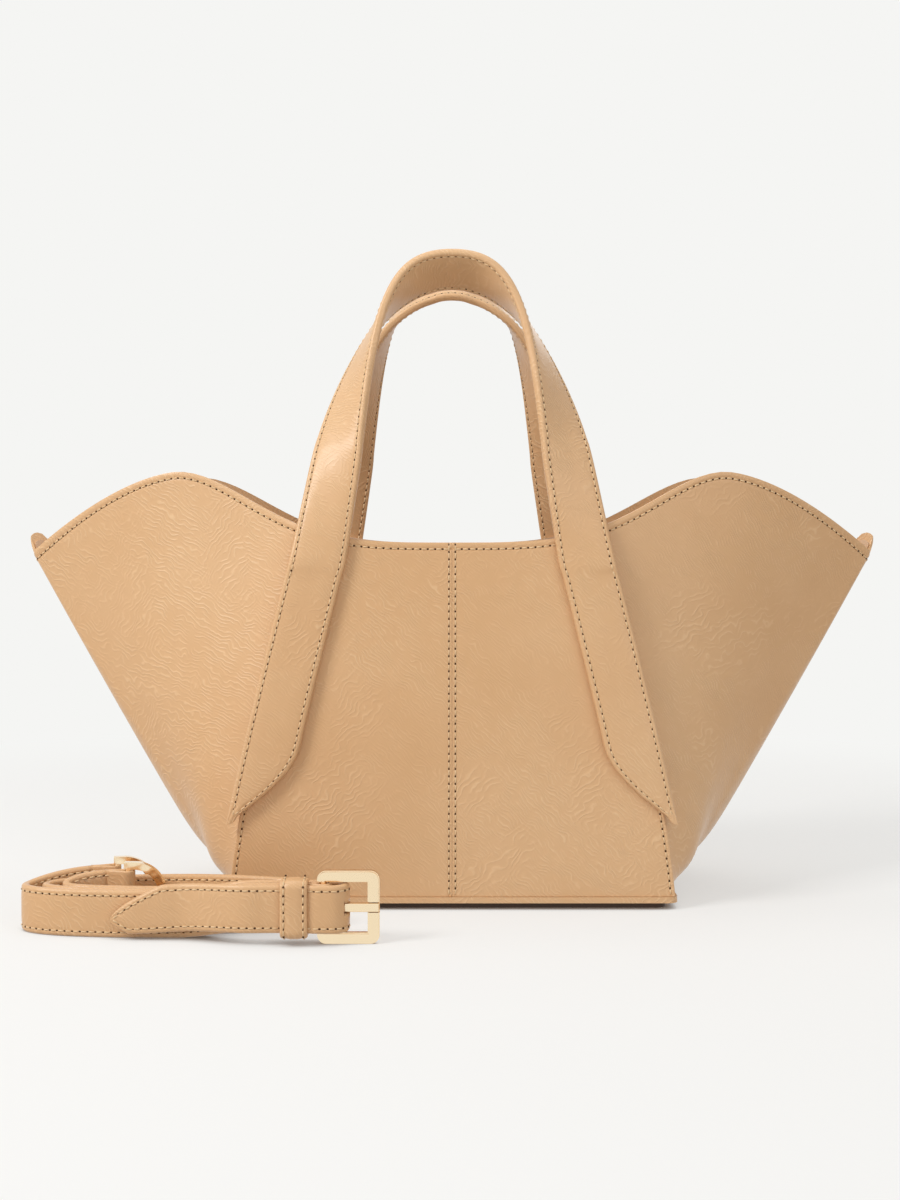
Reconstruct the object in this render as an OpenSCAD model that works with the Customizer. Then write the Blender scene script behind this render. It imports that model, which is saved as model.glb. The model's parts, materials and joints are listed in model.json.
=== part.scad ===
// Trapeze tote in smooth leather, with two twisted handles, and its shoulder strap coiled beside it.
// Millimetres, +Z up. The origin is the middle of the base on the floor, and the front faces -Y.

/* [Base] */
// Length of the base along the front
base_len = 188; // [175:1:200]
// Depth of the base from front to back
base_depth = 120; // [110:1:130]
// Corner radius of the base
base_corner = 4; // [2:0.5:8]
// How far the sole is set in under the welt
sole_inset = 3.5; // [2:0.5:6]
// Thickness of the leather sole
sole_t = 2.9; // [2:0.1:4]
// Height of the welt that the walls stand on
welt_t = 2.5; // [1.5:0.1:3.5]
// How far the welt stands out past the walls
welt_proud = 0.8; // [0:0.1:1.5]
// Width of the welt strip
welt_w = 10; // [6:1:16]

/* [Walls] */
// Distance between the front and back faces at the rim
rim_depth = 103; // [90:1:110]
// Height of the rim in the middle of the front
rim_h = 154; // [144:1:165]
// Rise of the wing humps above the middle of the rim
hump_rise = 30.6; // [20:0.5:36]
// Distance of a hump from the middle
hump_x = 119; // [110:1:128]
// Height of the rim where a wing folds
fold_rim_h = 149; // [140:1:160]
// Half the bag's length across the wing folds
fold_x = 190.8; // [180:0.5:200]
// Swell of the fold line between base and tip
fold_swell = 0.06; // [0:0.02:0.3]
// How far the fold stands out just above the base
fold_start = 14.5; // [8:0.5:18]
// Outer radius of the leather where a wing folds
fold_r = 5; // [4.5:0.1:7]
// Half the width of the front panel at the rim
panel_top_half = 65; // [60:0.5:72]
// Curve of the side seams, where 1 is straight
seam_curve = 1.32; // [1:0.02:1.6]
// Belly of the front and back panels
belly = 2; // [0:0.1:4]
// Swell of the wings between seam and fold
wing_swell = 3; // [0:0.1:6]
// How far the wing's sides swell just above the base
base_swell = 6; // [0:0.5:8]
// Rise of the small ear behind the fold
ear_rise = 6.5; // [0:0.5:8]

/* [Leather] */
// Thickness of the wall leather
leather_t = 1.5; // [1.2:0.1:2]
// Thickness of the stiffening boards
board_t = 1.4; // [1:0.1:1.8]
// Thickness of the lining
lining_t = 0.6; // [0.4:0.1:0.9]
// Width that a gusset is lapped under a panel
lap_w = 8; // [6:0.5:12]
// Distance of the boards below the rim
board_drop = 10; // [6:1:20]
// Width of the slip pocket
pocket_w = 110; // [80:1:120]
// Height of the slip pocket
pocket_h = 70; // [50:1:90]
// Height of the slip pocket's lower edge
pocket_z = 45; // [20:1:60]

/* [Handles] */
// Width of a handle strip
handle_w = 23; // [18:0.5:26]
// Thickness of a handle strip
handle_t = 3.4; // [2.6:0.1:4]
// Distance of a leg's inner edge from the middle, at the rim
handle_foot = 41; // [38:0.5:44]
// Height of a handle's upper edge above the rim
handle_rise = 125.5; // [100:0.5:140]
// How far a handle leans inwards at its top
handle_lean = 19.6; // [10:0.2:24]
// Turn of the strip from leg to top, in degrees
handle_turn = 126; // [90:1:140]
// Height of the pointed ends above the floor
handle_tip_h = 36; // [25:1:50]
// Length of the curved cut at a pointed end
handle_tip_len = 33; // [18:1:36]
// How far a leg covers the side seam
seam_cover = 1.6; // [0.5:0.1:3]
// How much further out the handle's pointed end lies
tip_spread = 3.2; // [0:0.1:5]
// Height of the swing line above the middle of the rim
swing_rise = 7.5; // [7:0.1:10]

/* [Strap] */
// Width of the shoulder strap
strap_w = 18.5; // [16:0.5:20]
// Thickness of the shoulder strap
strap_t = 3.2; // [2.6:0.1:3.4]
// Half the length of the coil
coil_a = 62; // [58:1:64]
// Half the depth of the coil
coil_b = 20; // [19:0.5:21]
// Length of the pointed tail past the buckle bar
tail_len = 83; // [70:1:90]
// Width of the keeper along the strap
keeper_w = 10.5; // [8:0.5:12]
// Thickness of the keeper leather
keeper_t = 1.6; // [1.2:0.1:1.8]

/* [Buckle and hooks] */
// Length of the buckle frame along the strap
frame_len = 24; // [22:0.5:27]
// Width of the buckle's flat bars
frame_bar = 4.4; // [3.5:0.1:5]
// Thickness of the buckle frame
frame_t = 3; // [2.4:0.1:3.6]
// Radius of the round bars that leather wraps
bar_r = 1.5; // [1.2:0.1:1.6]
// Width of the prong
prong_w = 3.4; // [2.4:0.1:4]
// Width of a snap hook's body
hook_w = 9.8; // [9:0.2:11]
// Length of a snap hook's body
hook_len = 20.8; // [19:0.2:24]
// Thickness of a snap hook's body
hook_t = 4; // [3.4:0.1:4.6]
// Outer width of the rings in the wings
ring_w = 20; // [18:0.5:24]
// Wire radius of the rings in the wings
ring_wire = 1.3; // [1:0.1:1.6]

/* [Hidden] */

leather = "#D9B183";
leather_edge = "#CFA679";
lining_colour = "#E0C8AF";
board_colour = "#8A7A66";
gold = "#E2C48F";

// Gap between glued layers
glue = 0.05;
// Gap between pieces that move past each other
clear = 0.3;
// Radial gap of a running fit
running = 0.05;
// Smallest height that keeps a pointed end solid
point_h = 0.6;

// Rows and columns of the walls
wall_rows = 11;
panel_cols = 6;
line_cols = 6;
arc_cols = 4;
// Share of a gusset half that is the flat run before its fold
flat_share = 0.72;

wall_z = sole_t + welt_t + glue;
board_h = leather_t + glue;
lining_h = 2 * leather_t + 2 * glue;

function smooth(t) = let(c = min(1, max(0, t))) c * c * (3 - 2 * c);
function blend(a, b, t) = a + (b - a) * t;

// Plan of the walls at height z: seam, face, fold line and fold radius

function seam_x(z) = base_len / 2 - (base_len / 2 - panel_top_half) * pow(z / rim_h, seam_curve);
function face_y(z) = base_depth / 2 - (base_depth - rim_depth) / 2 * pow(z / rim_h, 1.4);
function rise(z) = (z - wall_z) / (fold_rim_h - wall_z);
function fold_at(z) = let(t = rise(z))
    base_len / 2 + fold_start * (1 - pow(max(0, 1 - t), 20))
    + (fold_x - base_len / 2 - fold_start) * t * (1 + fold_swell * (1 - t));
function fold_radius(z) = fold_r + (face_y(z) - fold_r) * pow(max(0, 1 - rise(z)), 2.2);
function belly_at(x, z) = belly * sin(180 * min(1, z / rim_h)) * max(0, cos(90 * x / seam_x(z)));

// Height of the rim above a point at distance x from the middle
function rim_at(x) = let(a = abs(x)) a < hump_x
    ? rim_h + hump_rise * (1 - cos(180 * pow(a / hump_x, 1.85))) / 2
    : rim_h + hump_rise
        - (rim_h + hump_rise - fold_rim_h) * pow(min(1, (a - hump_x) / (fold_x - hump_x)), 1.57);

// The ear: a small rise on the back half of the fold, q counted along the gusset
function ear_at(q) = let(w = 1 - flat_share, u = (q - 1 - 0.6 * w) / (0.55 * w))
    abs(u) < 1 ? ear_rise * pow(cos(90 * u), 0.6) : 0;

// Swell of the side wall between its seam and its fold, more just above the base
function side_swell(z) = let(t = rise(z), u = max(0, 1 - t))
    wing_swell * t + base_swell * (1 - pow(u, 20)) * pow(u, 2.5);
// A point on the side wall in plan: q runs 0 at the front seam, 1 at the fold, 2 at the back seam
function side_half(q, z) =
    let(
        w = seam_x(z),
        d = face_y(z),
        r = fold_radius(z),
        cx = fold_at(z) - r,
        aim = atan2(-d, w - cx) + acos(min(1, r / norm([w - cx, d]))),
        out = [cos(aim), sin(aim)],
        s = q / flat_share,
        turn = aim * (1 - (q - flat_share) / (1 - flat_share))
    )
    q < flat_share
        ? [w, -d] * (1 - s) + ([cx, 0] + r * out) * s
            + out * side_swell(z) * pow(sin(180 * s), 2)
        : [cx + r * cos(turn), r * sin(turn)];
function side_pt(q, z) = q > 1
    ? let(p = side_half(2 - q, z)) [p[0], -p[1]]
    : side_half(q, z);
function side_normal(q, z) =
    let(e = 0.01, u = side_pt(min(2, q + e), z) - side_pt(max(0, q - e), z)) [u[1], -u[0]] / norm(u);
// Stretches a horizontal offset so that a leaning wall keeps its thickness
function lean_scale(q, z) =
    let(k = side_normal(q, z) * (side_pt(q, z + 1) - side_pt(q, z - 1)) / 2) sqrt(1 + k * k);

// A point at depth h behind the outer face of the side wall
function side_in(q, z, h) =
    let(
        n = side_normal(q, z),
        k = lean_scale(q, z),
        corner = q == 0 || q == 2,
        face = [0, q < 1 ? -1 : 1],
        c = face * n,
        m = corner ? (face * (1 - k * c) + n * (k - c)) / (1 - c * c) : n * k
    )
    side_pt(q, z) - m * h;

function rim_side(q, z, n) = n == 0 ? z : rim_side(q, rim_at(side_pt(q, z)[0]), n - 1);
function rim_height(q) = rim_side(q, rim_h, 8) + ear_at(q);
function row_z(top, r, rows = wall_rows) = wall_z + (top - wall_z) * r / (rows - 1);

side_steps = [
    for (i = [0 : line_cols]) flat_share * i / line_cols,
    for (i = [1 : 2 * arc_cols]) flat_share + (2 - 2 * flat_share) * i / (2 * arc_cols),
    for (i = [line_cols - 1 : -1 : 0]) 2 - flat_share * i / line_cols
];

// Grids of points, each a list of rows from the bottom to the rim

function side_grid(h) = [
    for (r = [0 : wall_rows - 1]) [
        for (q = side_steps) let(z = row_z(rim_height(q), r), p = side_in(q, z, h)) [p[0], p[1], z]
    ]
];
// The gusset with its two laps under the panels
function gusset_grid(h) = let(g = side_grid(h)) [
    for (row = g)
        let(a = row[0], b = row[len(row) - 1], x = seam_x(a[2]) - lap_w, y = face_y(a[2]) + belly_at(x, a[2]) - h)
        concat([[x, -y, min(a[2], rim_at(x))]], row, [[x, y, min(b[2], rim_at(x))]])
];
// A face of the front, from x share f0 to f1 of the panel's half width less an edge
function front_grid(f0, f1, cols, h, edge = 0, drop = 0) = [
    for (r = [0 : wall_rows - 1]) [
        for (c = [0 : cols - 1])
            let(
                f = blend(f0, f1, c / (cols - 1)),
                z = row_z(rim_at(f * (panel_top_half - edge)) - drop, r),
                x = f * (seam_x(z) - edge)
            )
            [x, -face_y(z) - belly_at(x, z) + h, z]
    ]
];

// A closed sheet between an outer and an inner grid of the same size
module sheet(outer, inner) {
    rows = len(outer);
    cols = len(outer[0]);
    n = rows * cols;
    function at(s, r, c) = s * n + r * cols + c;
    polyhedron(
        points = [for (g = [outer, inner]) for (row = g) for (p = row) p],
        faces = concat(
            [for (r = [0 : rows - 2]) for (c = [0 : cols - 2])
                [at(0, r, c), at(0, r + 1, c), at(0, r + 1, c + 1), at(0, r, c + 1)]],
            [for (r = [0 : rows - 2]) for (c = [0 : cols - 2])
                [at(1, r, c), at(1, r, c + 1), at(1, r + 1, c + 1), at(1, r + 1, c)]],
            [for (c = [0 : cols - 2]) [at(0, 0, c), at(0, 0, c + 1), at(1, 0, c + 1), at(1, 0, c)]],
            [for (c = [0 : cols - 2], r = rows - 1)
                [at(0, r, c + 1), at(0, r, c), at(1, r, c), at(1, r, c + 1)]],
            [for (r = [0 : rows - 2]) [at(0, r + 1, 0), at(0, r, 0), at(1, r, 0), at(1, r + 1, 0)]],
            [for (r = [0 : rows - 2], c = cols - 1)
                [at(0, r, c), at(0, r + 1, c), at(1, r + 1, c), at(1, r, c)]]
        )
    );
}

// A solid strip through a list of cross sections, each a loop of points
module strip(loops) {
    m = len(loops[0]);
    last = len(loops) - 1;
    polyhedron(
        points = [for (l = loops) for (p = l) p],
        faces = concat(
            [for (i = [0 : last - 1]) for (j = [0 : m - 1]) let(k = (j + 1) % m)
                [i * m + j, (i + 1) * m + j, (i + 1) * m + k, i * m + k]],
            [[for (j = [0 : m - 1]) j]],
            [[for (j = [m - 1 : -1 : 0]) last * m + j]]
        )
    );
}

module round_rect(w, d, r) {
    square([w - 2 * r, d], center = true);
    square([w, d - 2 * r], center = true);
    for (x = [-1, 1], y = [-1, 1]) translate([x * (w / 2 - r), y * (d / 2 - r)]) circle(r, $fn = 48);
}

// Base

module base_panel() {
    color(leather_edge)
        linear_extrude(sole_t)
            round_rect(base_len - 2 * sole_inset, base_depth - 2 * sole_inset, base_corner);
}
module base_welt() {
    color(leather)
        translate([0, 0, sole_t])
            linear_extrude(welt_t)
                difference() {
                    round_rect(base_len + 2 * welt_proud, base_depth + 2 * welt_proud, base_corner);
                    square([base_len - 2 * welt_w, base_depth - 2 * welt_w], center = true);
                }
}
module base_board() {
    color(board_colour)
        translate([0, 0, sole_t])
            linear_extrude(welt_t - glue)
                square([base_len - 2 * welt_w - clear, base_depth - 2 * welt_w - clear], center = true);
}
module base_lining() {
    inset = lining_h + lining_t + clear;
    half = min([for (q = side_steps) side_in(q, wall_z, inset)[0]]);
    color(lining_colour)
        translate([0, 0, wall_z])
            linear_extrude(lining_t)
                square([2 * half, base_depth - 2 * inset], center = true);
}

// Walls. The middle seam and the side laps leave the gaps that the leather has.

module front_half() {
    sheet(front_grid(0.0012, 1, panel_cols, 0), front_grid(0.0012, 1, panel_cols, leather_t));
}
module front_panel_right() {
    color(leather) front_half();
}
module front_panel_left() {
    color(leather) mirror([1, 0, 0]) front_half();
}
module back_panel_right() {
    color(leather) mirror([0, 1, 0]) front_half();
}
module back_panel_left() {
    color(leather) mirror([0, 1, 0]) mirror([1, 0, 0]) front_half();
}
module side_gusset_right() {
    color(leather) sheet(gusset_grid(board_h), gusset_grid(board_h + leather_t));
}
module side_gusset_left() {
    color(leather) mirror([1, 0, 0]) side_gusset_right();
}
module front_board() {
    edge = lap_w + 4 * clear;
    color(board_colour)
        sheet(
            front_grid(-1, 1, panel_cols + 1, board_h, edge, board_drop),
            front_grid(-1, 1, panel_cols + 1, board_h + board_t, edge, board_drop)
        );
}
module back_board() {
    mirror([0, 1, 0]) front_board();
}
module front_lining() {
    edge = lining_h + lining_t + 2 * clear;
    color(lining_colour)
        sheet(
            front_grid(-1, 1, 2 * panel_cols - 1, lining_h, edge),
            front_grid(-1, 1, 2 * panel_cols - 1, lining_h + lining_t, edge)
        );
}
module back_lining() {
    mirror([0, 1, 0]) front_lining();
}
module side_lining_right() {
    color(lining_colour) sheet(side_grid(lining_h), side_grid(lining_h + lining_t));
}
module side_lining_left() {
    color(lining_colour) mirror([1, 0, 0]) side_lining_right();
}

// The slip pocket follows the back lining, a patch with its mouth at the top
function pocket_grid(h) = [
    for (r = [0 : 6]) [
        for (c = [-3 : 3])
            let(x = c * pocket_w / 6, z = pocket_z + r * pocket_h / 6)
            [x, -face_y(z) - belly_at(x, z) + h, z]
    ]
];
module slip_pocket() {
    h = lining_h + lining_t + clear / 2;
    color(lining_colour) mirror([0, 1, 0]) sheet(pocket_grid(h), pocket_grid(h + lining_t));
}

// Handles. A leg is stitched on the front up to the rim, and the loop above it turns as it rises,
// so that its inner edge comes to the front and its outer edge goes to the back.

swing_z = rim_h + swing_rise;
swing_y = -face_y(swing_z) - clear - handle_t / 2;
tab_top = swing_z - handle_t / 2 - 0.4;
foot_slope = (seam_x(swing_z - 10) - seam_x(swing_z)) / 10;

function leg_outer(z) = seam_x(z) + seam_cover
    + tip_spread * pow(max(0, (tab_top - z) / (tab_top - handle_tip_h)), 2);
function leg_inner(z) = let(t = min(1, max(0, (z - handle_tip_h) / handle_tip_len)))
    leg_outer(z) - handle_w * norm([1, foot_slope]) * max(0.03, sin(90 * t));
tab_rows = 13;
tab_cols = 4;
function tab_grid(h) = [
    for (r = [0 : tab_rows - 1])
        let(z = handle_tip_h + (tab_top - handle_tip_h) * pow(r / (tab_rows - 1), 1.5))
        [for (c = [0 : tab_cols - 1])
            let(x = blend(leg_inner(z), leg_outer(z), c / (tab_cols - 1)))
            [x, -face_y(z) - belly_at(x, z) - clear - h, z]]
];
module handle_tab() {
    color(leather) sheet(tab_grid(handle_t), tab_grid(0));
}
module front_handle_tab_right() {
    handle_tab();
}
module front_handle_tab_left() {
    mirror([1, 0, 0]) handle_tab();
}
module back_handle_tab_right() {
    mirror([0, 1, 0]) handle_tab();
}
module back_handle_tab_left() {
    mirror([0, 1, 0]) mirror([1, 0, 0]) handle_tab();
}

// The inner edge of the loop is one Bezier curve from the foot to the top, in the plane X and Z
top_z = rim_h + handle_rise;
arch = [
    [handle_foot, swing_z],
    [handle_foot * 0.8, swing_z + 0.75 * (top_z - swing_z)],
    [handle_foot * 0.79, top_z],
    [0, top_z]
];
function arch_pt(t) = let(s = 1 - t)
    s * s * s * arch[0] + 3 * s * s * t * arch[1] + 3 * s * t * t * arch[2] + t * t * t * arch[3];
function arch_dir(t) = let(s = 1 - t, v = s * s * (arch[1] - arch[0]) + 2 * s * t * (arch[2] - arch[1])
    + t * t * (arch[3] - arch[2])) v / norm(v);
function inner_edge(t) = let(p = arch_pt(t))
    [p[0], swing_y + handle_lean * pow(max(0, p[1] - swing_z) / (top_z - swing_z), 1.6), p[1]];
function across(t) =
    let(
        a = handle_turn * (1 - pow(1 - t, 1.85) * smooth((0.9 - t) / 0.45)),
        v = [arch_dir(t)[0] * smooth(t / 0.12), arch_dir(t)[1]],
        d = v / norm(v)
    )
    [cos(a) * d[1], sin(a), -cos(a) * d[0]];
// The right half from foot to top, then its mirror image down to the left foot
half_steps = 17;
function loop_middle(t) = inner_edge(t) + across(t) * handle_w / 2;
function loop_section(t) =
    let(
        e = 0.004,
        along = loop_middle(min(1, t + e)) - loop_middle(max(0, t - e)),
        w = across(t),
        n = cross(w, along) / norm(cross(w, along)),
        a = inner_edge(t),
        b = a + w * handle_w,
        h = handle_t / 2,
        soft = 0.7
    )
    [
        a - n * (h - soft), a + n * (h - soft), a + w * soft + n * h, b - w * soft + n * h,
        b + n * (h - soft), b - n * (h - soft), b - w * soft - n * h, a + w * soft - n * h
    ];
// The foot ends in a half round that turns about the swing line
function foot_section(a) = [for (p = right_loops[0])
    [p[0], swing_y + (p[1] - swing_y) * cos(a), swing_z - handle_t / 2 * sin(a)]];
right_loops = [for (i = [0 : half_steps - 1]) loop_section(i / (half_steps - 1))];
foot_to_top = concat([for (a = [78, 50, 25]) foot_section(a)], right_loops);
all_loops = concat(
    foot_to_top,
    [for (i = [len(foot_to_top) - 2 : -1 : 0]) [for (p = foot_to_top[i]) [-p[0], p[1], p[2]]]]
);
module front_handle_loop() {
    color(leather) strip(all_loops);
}
module back_handle_loop() {
    mirror([0, 1, 0]) front_handle_loop();
}

// Rings inside the wings, each through a leather tab that is sewn into the fold

ring_z = 131;
ring_bar_x = fold_at(ring_z) - 20;
tab_w = ring_w - 4 * ring_wire - 5 * clear;
module ring_tab_right() {
    low = ring_z - tab_w / 2;
    high = ring_z + tab_w / 2;
    tab_t = 2 * (fold_r - lining_h - lining_t) - 0.2;
    color(leather)
        difference() {
            union() {
                translate([ring_bar_x, 0, low]) cylinder(r = ring_wire + 1, h = tab_w, $fn = 48);
                translate([0, tab_t / 2, 0])
                    rotate([90, 0, 0])
                        linear_extrude(tab_t)
                            polygon([
                                [ring_bar_x, low], [fold_at(low) - fold_r + 0.4, low],
                                [fold_at(high) - fold_r + 0.4, high], [ring_bar_x, high]
                            ]);
            }
            translate([ring_bar_x, 0, ring_z - tab_w]) cylinder(r = ring_wire + running, h = 2 * tab_w, $fn = 48);
        }
}
module ring_tab_left() {
    mirror([1, 0, 0]) ring_tab_right();
}
// A D ring: a straight bar and half a round one
module ring_right() {
    r = ring_w / 2 - ring_wire;
    color(gold)
        translate([ring_bar_x, 0, ring_z]) {
            cylinder(r = ring_wire, h = 2 * r, center = true, $fn = 48);
            rotate([90, 0, 0])
                rotate([0, 0, 90])
                    rotate_extrude(angle = 180, $fn = 64) translate([r, 0]) circle(ring_wire, $fn = 32);
            for (s = [-1, 1]) translate([0, 0, s * r]) sphere(ring_wire, $fn = 32);
        }
}
module ring_left() {
    mirror([1, 0, 0]) ring_right();
}

// Shoulder strap. It stands on its edge and is wound in a long oval that sags towards the front.
// coil_pt gives the plan position at angle a, on layer k counted from the outside.

coil_c = [-base_len / 2 - 14, -base_depth / 2 - 29.5];
end_pitch = 6.5;
side_pitch = 3.75;
coil_bow = 0.0012;
function coil_pt(a, k) =
    let(dx = (coil_a - end_pitch * k) * cos(a))
    [coil_c[0] + dx, coil_c[1] - coil_bow * dx * dx - (coil_b - side_pitch * k) * sin(a)];

// The buckle, upright on the floor, its window in line with the strap
bar_x = 44.4 - base_len / 2;
buckle_y = -base_depth / 2 - 59;
straight_x = bar_x - 26;
window = strap_w + 1;
frame_h = window + 2 * frame_bar;
buckle_lift = (frame_h - strap_w) / 2;
fold_layer = 1.6;
bend_r = bar_r + 0.2 + fold_layer + clear + 0.1 + strap_t / 2;
bend_x = bar_x + 3.3;
back_run = 0.1;

// The near run goes from layer k over the middle of the coil to the buckle, shifted by dy there
function near_run(x, k, dy) =
    let(start = coil_pt(90, k)[1])
    x > coil_c[0] ? [x, blend(start, buckle_y + dy, smooth((x - coil_c[0]) / (straight_x - coil_c[0])))] : undef;
// Both parts and the tail bend at the same places, so that their layers lie flat on each other
run_x = concat([bar_x - 8], [for (i = [0 : 6]) blend(straight_x, coil_c[0] + 4, i / 6)]);
function run_lift(x) = blend(0, buckle_lift, smooth((x - coil_c[0]) / (straight_x - coil_c[0])));

// A strip standing on edge along plan points [x, y, bottom, top]
function strap_loops(path) = [
    for (i = [0 : len(path) - 1])
        let(
            a = path[max(0, i - 1)],
            b = path[min(len(path) - 1, i + 1)],
            t = [b[0] - a[0], b[1] - a[1]] / norm([b[0] - a[0], b[1] - a[1]]),
            l = [-t[1], t[0]] * strap_t / 2,
            p = path[i]
        )
        [
            [p[0] + l[0], p[1] + l[1], p[2]], [p[0] + l[0], p[1] + l[1], p[3]],
            [p[0] - l[0], p[1] - l[1], p[3]], [p[0] - l[0], p[1] - l[1], p[2]]
        ]
];

// How high the strap's ends are lifted by the hooks' eyes, which stand on the floor
eye_h = strap_w + 0.5 + 4 * bar_r;
eye_z = eye_h / 2 + 0.1;
end_lift = eye_z - strap_w / 2;

// Long part: pointed tail, run to the buckle, bend through its window, run back, two turns of the coil
tail_x = bar_x - tail_len;
front_shift = -bend_r + back_run;
tail_steps = concat(
    [for (u = [0, 0.7, 2, 4, 7, 11.5, 17]) tail_x + u],
    [for (x = concat([coil_c[0]], [for (i = [7 : -1 : 1]) run_x[i]])) if (x > tail_x + 19) x],
    [for (x = [-8.5, -6, -3.5, -1.5]) bar_x + x],
    [bend_x]
);
function tail_shift(x) = blend(-strap_t - 0.5, front_shift, smooth((x - bar_x + 8.5) / 7))
    - 0.4 * smooth((straight_x + 4 - x) / 8);
function tail_y(x) = (x > coil_c[0] ? near_run(x, 0, 0)[1] : coil_pt(acos((x - coil_c[0]) / coil_a), 0)[1])
    + tail_shift(x);
function tail_lift(x) = blend(2.2, buckle_lift, smooth((x - tail_x) / (straight_x - tail_x)));
function tail_low(x) = tail_lift(x) + 5 * max(0, 1 - (x - tail_x) / 7);
function tail_high(x) = let(u = min(1, (x - tail_x) / 20))
    tail_lift(x) + 5 + point_h + (strap_w - 5 - point_h) * pow(u, 0.6);
long_end = 583;
function long_layer(a) = 0.95 + 1.13 * (a - 90) / 360
    + 0.5 * (smooth((a - 200) / 60) - smooth((a - 300) / 60)) + 0.55 * smooth((a - 520) / 60);
function long_lift(a) = blend(0, end_lift, smooth((a - long_end + 70) / 70));
coil_step = 12.5;
function coil_angles(last) = concat([for (a = [90 : coil_step : last - 4]) a], [last]);
long_path = concat(
    [for (x = tail_steps) [x, tail_y(x), tail_low(x), tail_high(x)]],
    [for (a = [-75 : 15 : 75])
        [bend_x + bend_r * cos(a), buckle_y + back_run + bend_r * sin(a), buckle_lift, buckle_lift + strap_w]],
    [for (x = concat([bend_x], run_x))
        [x, near_run(x, long_layer(90), bend_r + back_run)[1], run_lift(x), run_lift(x) + strap_w]],
    [for (a = coil_angles(long_end))
        let(p = coil_pt(a, long_layer(a)), z = long_lift(a)) [p[0], p[1], z, z + strap_w]]
);
long_tip = long_path[len(long_path) - 1];
long_aim = -3;

// Short part: from its fold round the buckle's bar, along the front, round the outside to its hook
short_end = 233;
function short_lift(a) = blend(0, end_lift, smooth((a - short_end + 50) / 50));
short_path = concat(
    [for (x = concat([bar_x - 5], run_x)) [x, near_run(x, 0, 0)[1], run_lift(x), run_lift(x) + strap_w]],
    [for (a = coil_angles(short_end))
        let(p = coil_pt(a, 0), z = short_lift(a)) [p[0], p[1], z, z + strap_w]]
);
short_tip = short_path[len(short_path) - 1];
short_aim = 10;

eye_reach = 0.4325 * strap_w;
fold_len = eye_reach + 1;
// The fold of a strap's end round a bar at the origin, with the strap coming from -X
module end_fold(len) {
    r = bar_r + 0.2 + fold_layer;
    translate([0, 0, -strap_w / 2])
        linear_extrude(strap_w)
            difference() {
                union() {
                    circle(r, $fn = 64);
                    polygon([[-len, -strap_t / 2], [-len, strap_t / 2], [-0.6, r], [-0.6, -r]]);
                }
                circle(bar_r + 0.2, $fn = 64);
            }
}

prong_z = frame_h / 2;
module strap_long() {
    color(leather)
        difference() {
            union() {
                strip(long_path_loops);
                translate([long_tip[0], long_tip[1], eye_z]) rotate([0, 0, long_aim]) translate([eye_reach, 0, 0]) end_fold(fold_len);
            }
            translate([bend_x + 1, buckle_y - 1.5 * strap_t, prong_z - prong_w / 2 - 0.6])
                cube([2.5 * strap_t, 1.625 * strap_t, prong_w + 1.2]);
        }
}
long_path_loops = strap_loops(long_path);
module strap_short() {
    color(leather)
        difference() {
            union() {
                strip(strap_loops(short_path));
                translate([bar_x, buckle_y, prong_z]) end_fold(5.5);
                translate([short_tip[0], short_tip[1], eye_z])
                    rotate([0, 0, short_aim]) translate([eye_reach, 0, 0]) end_fold(fold_len);
            }
            translate([bar_x - 3.4, buckle_y - 6, prong_z - prong_w / 2 - 0.6]) cube([10, 12, prong_w + 1.2]);
        }
}

// The keeper, a loop round the short part and the tail
keeper_x = bar_x - 5.6 - keeper_w;
module strap_keeper() {
    y0 = buckle_y + tail_shift(keeper_x + keeper_w) - strap_t / 2 - clear;
    y1 = buckle_y + strap_t / 2 + clear;
    z0 = buckle_lift - clear;
    z1 = buckle_lift + strap_w + clear;
    color(leather)
        translate([keeper_x, (y0 + y1) / 2, (z0 + z1) / 2])
            rotate([90, 0, 90])
                linear_extrude(keeper_w)
                    difference() {
                        round_rect(y1 - y0 + 2 * keeper_t, z1 - z0 + 2 * keeper_t, 2);
                        square([y1 - y0, z1 - z0], center = true);
                    }
}

// The buckle: a square frame with a round bar on the strap's side, and a prong that turns on it
frame_x0 = bar_x - bar_r - 0.8;
frame_x1 = frame_x0 + frame_len;
module frame_plate(t, shrink) {
    translate([(frame_x0 + frame_x1) / 2, buckle_y + t / 2, frame_h / 2])
        rotate([90, 0, 0])
            linear_extrude(t)
                difference() {
                    round_rect(frame_len - 2 * shrink, frame_h - 2 * shrink, 3.5 - shrink);
                    translate([(bar_r + 1.9 - frame_bar) / 2 - 0.7, 0])
                        square([frame_len - frame_bar - 2.4 + 2 * shrink, window + 2 * shrink], center = true);
                }
}
module buckle_frame() {
    notch = prong_w / 2 + clear;
    color(gold)
        difference() {
            union() {
                difference() {
                    union() {
                        frame_plate(frame_t - 1, 0);
                        frame_plate(frame_t, 0.5);
                    }
                    translate([frame_x0 - 1, buckle_y - frame_t, (frame_h - window) / 2])
                        cube([bar_x - frame_x0 + bar_r + 1.5, 2 * frame_t, window]);
                }
                translate([bar_x, buckle_y, (frame_h - window) / 2 - 0.5])
                    cylinder(r = bar_r, h = window + 1, $fn = 64);
            }
            translate([frame_x1 - frame_bar - 1, buckle_y - frame_t, prong_z - notch])
                cube([frame_bar + 2, frame_t + clear, 2 * notch]);
        }
}
module buckle_prong() {
    arm_y = buckle_y - frame_t / 2 - 0.4;
    arm_t = frame_t / 2 + 0.3;
    z0 = prong_z - prong_w / 2;
    color(gold)
        difference() {
            union() {
                translate([bar_x, buckle_y, z0]) cylinder(r = bar_r + 1, h = prong_w, $fn = 64);
                translate([bar_x, arm_y, z0]) cube([frame_x1 - bar_x - 0.2, arm_t, prong_w]);
            }
            translate([bar_x, buckle_y, z0 - 1]) cylinder(r = bar_r + running, h = prong_w + 2, $fn = 64);
        }
}

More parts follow.
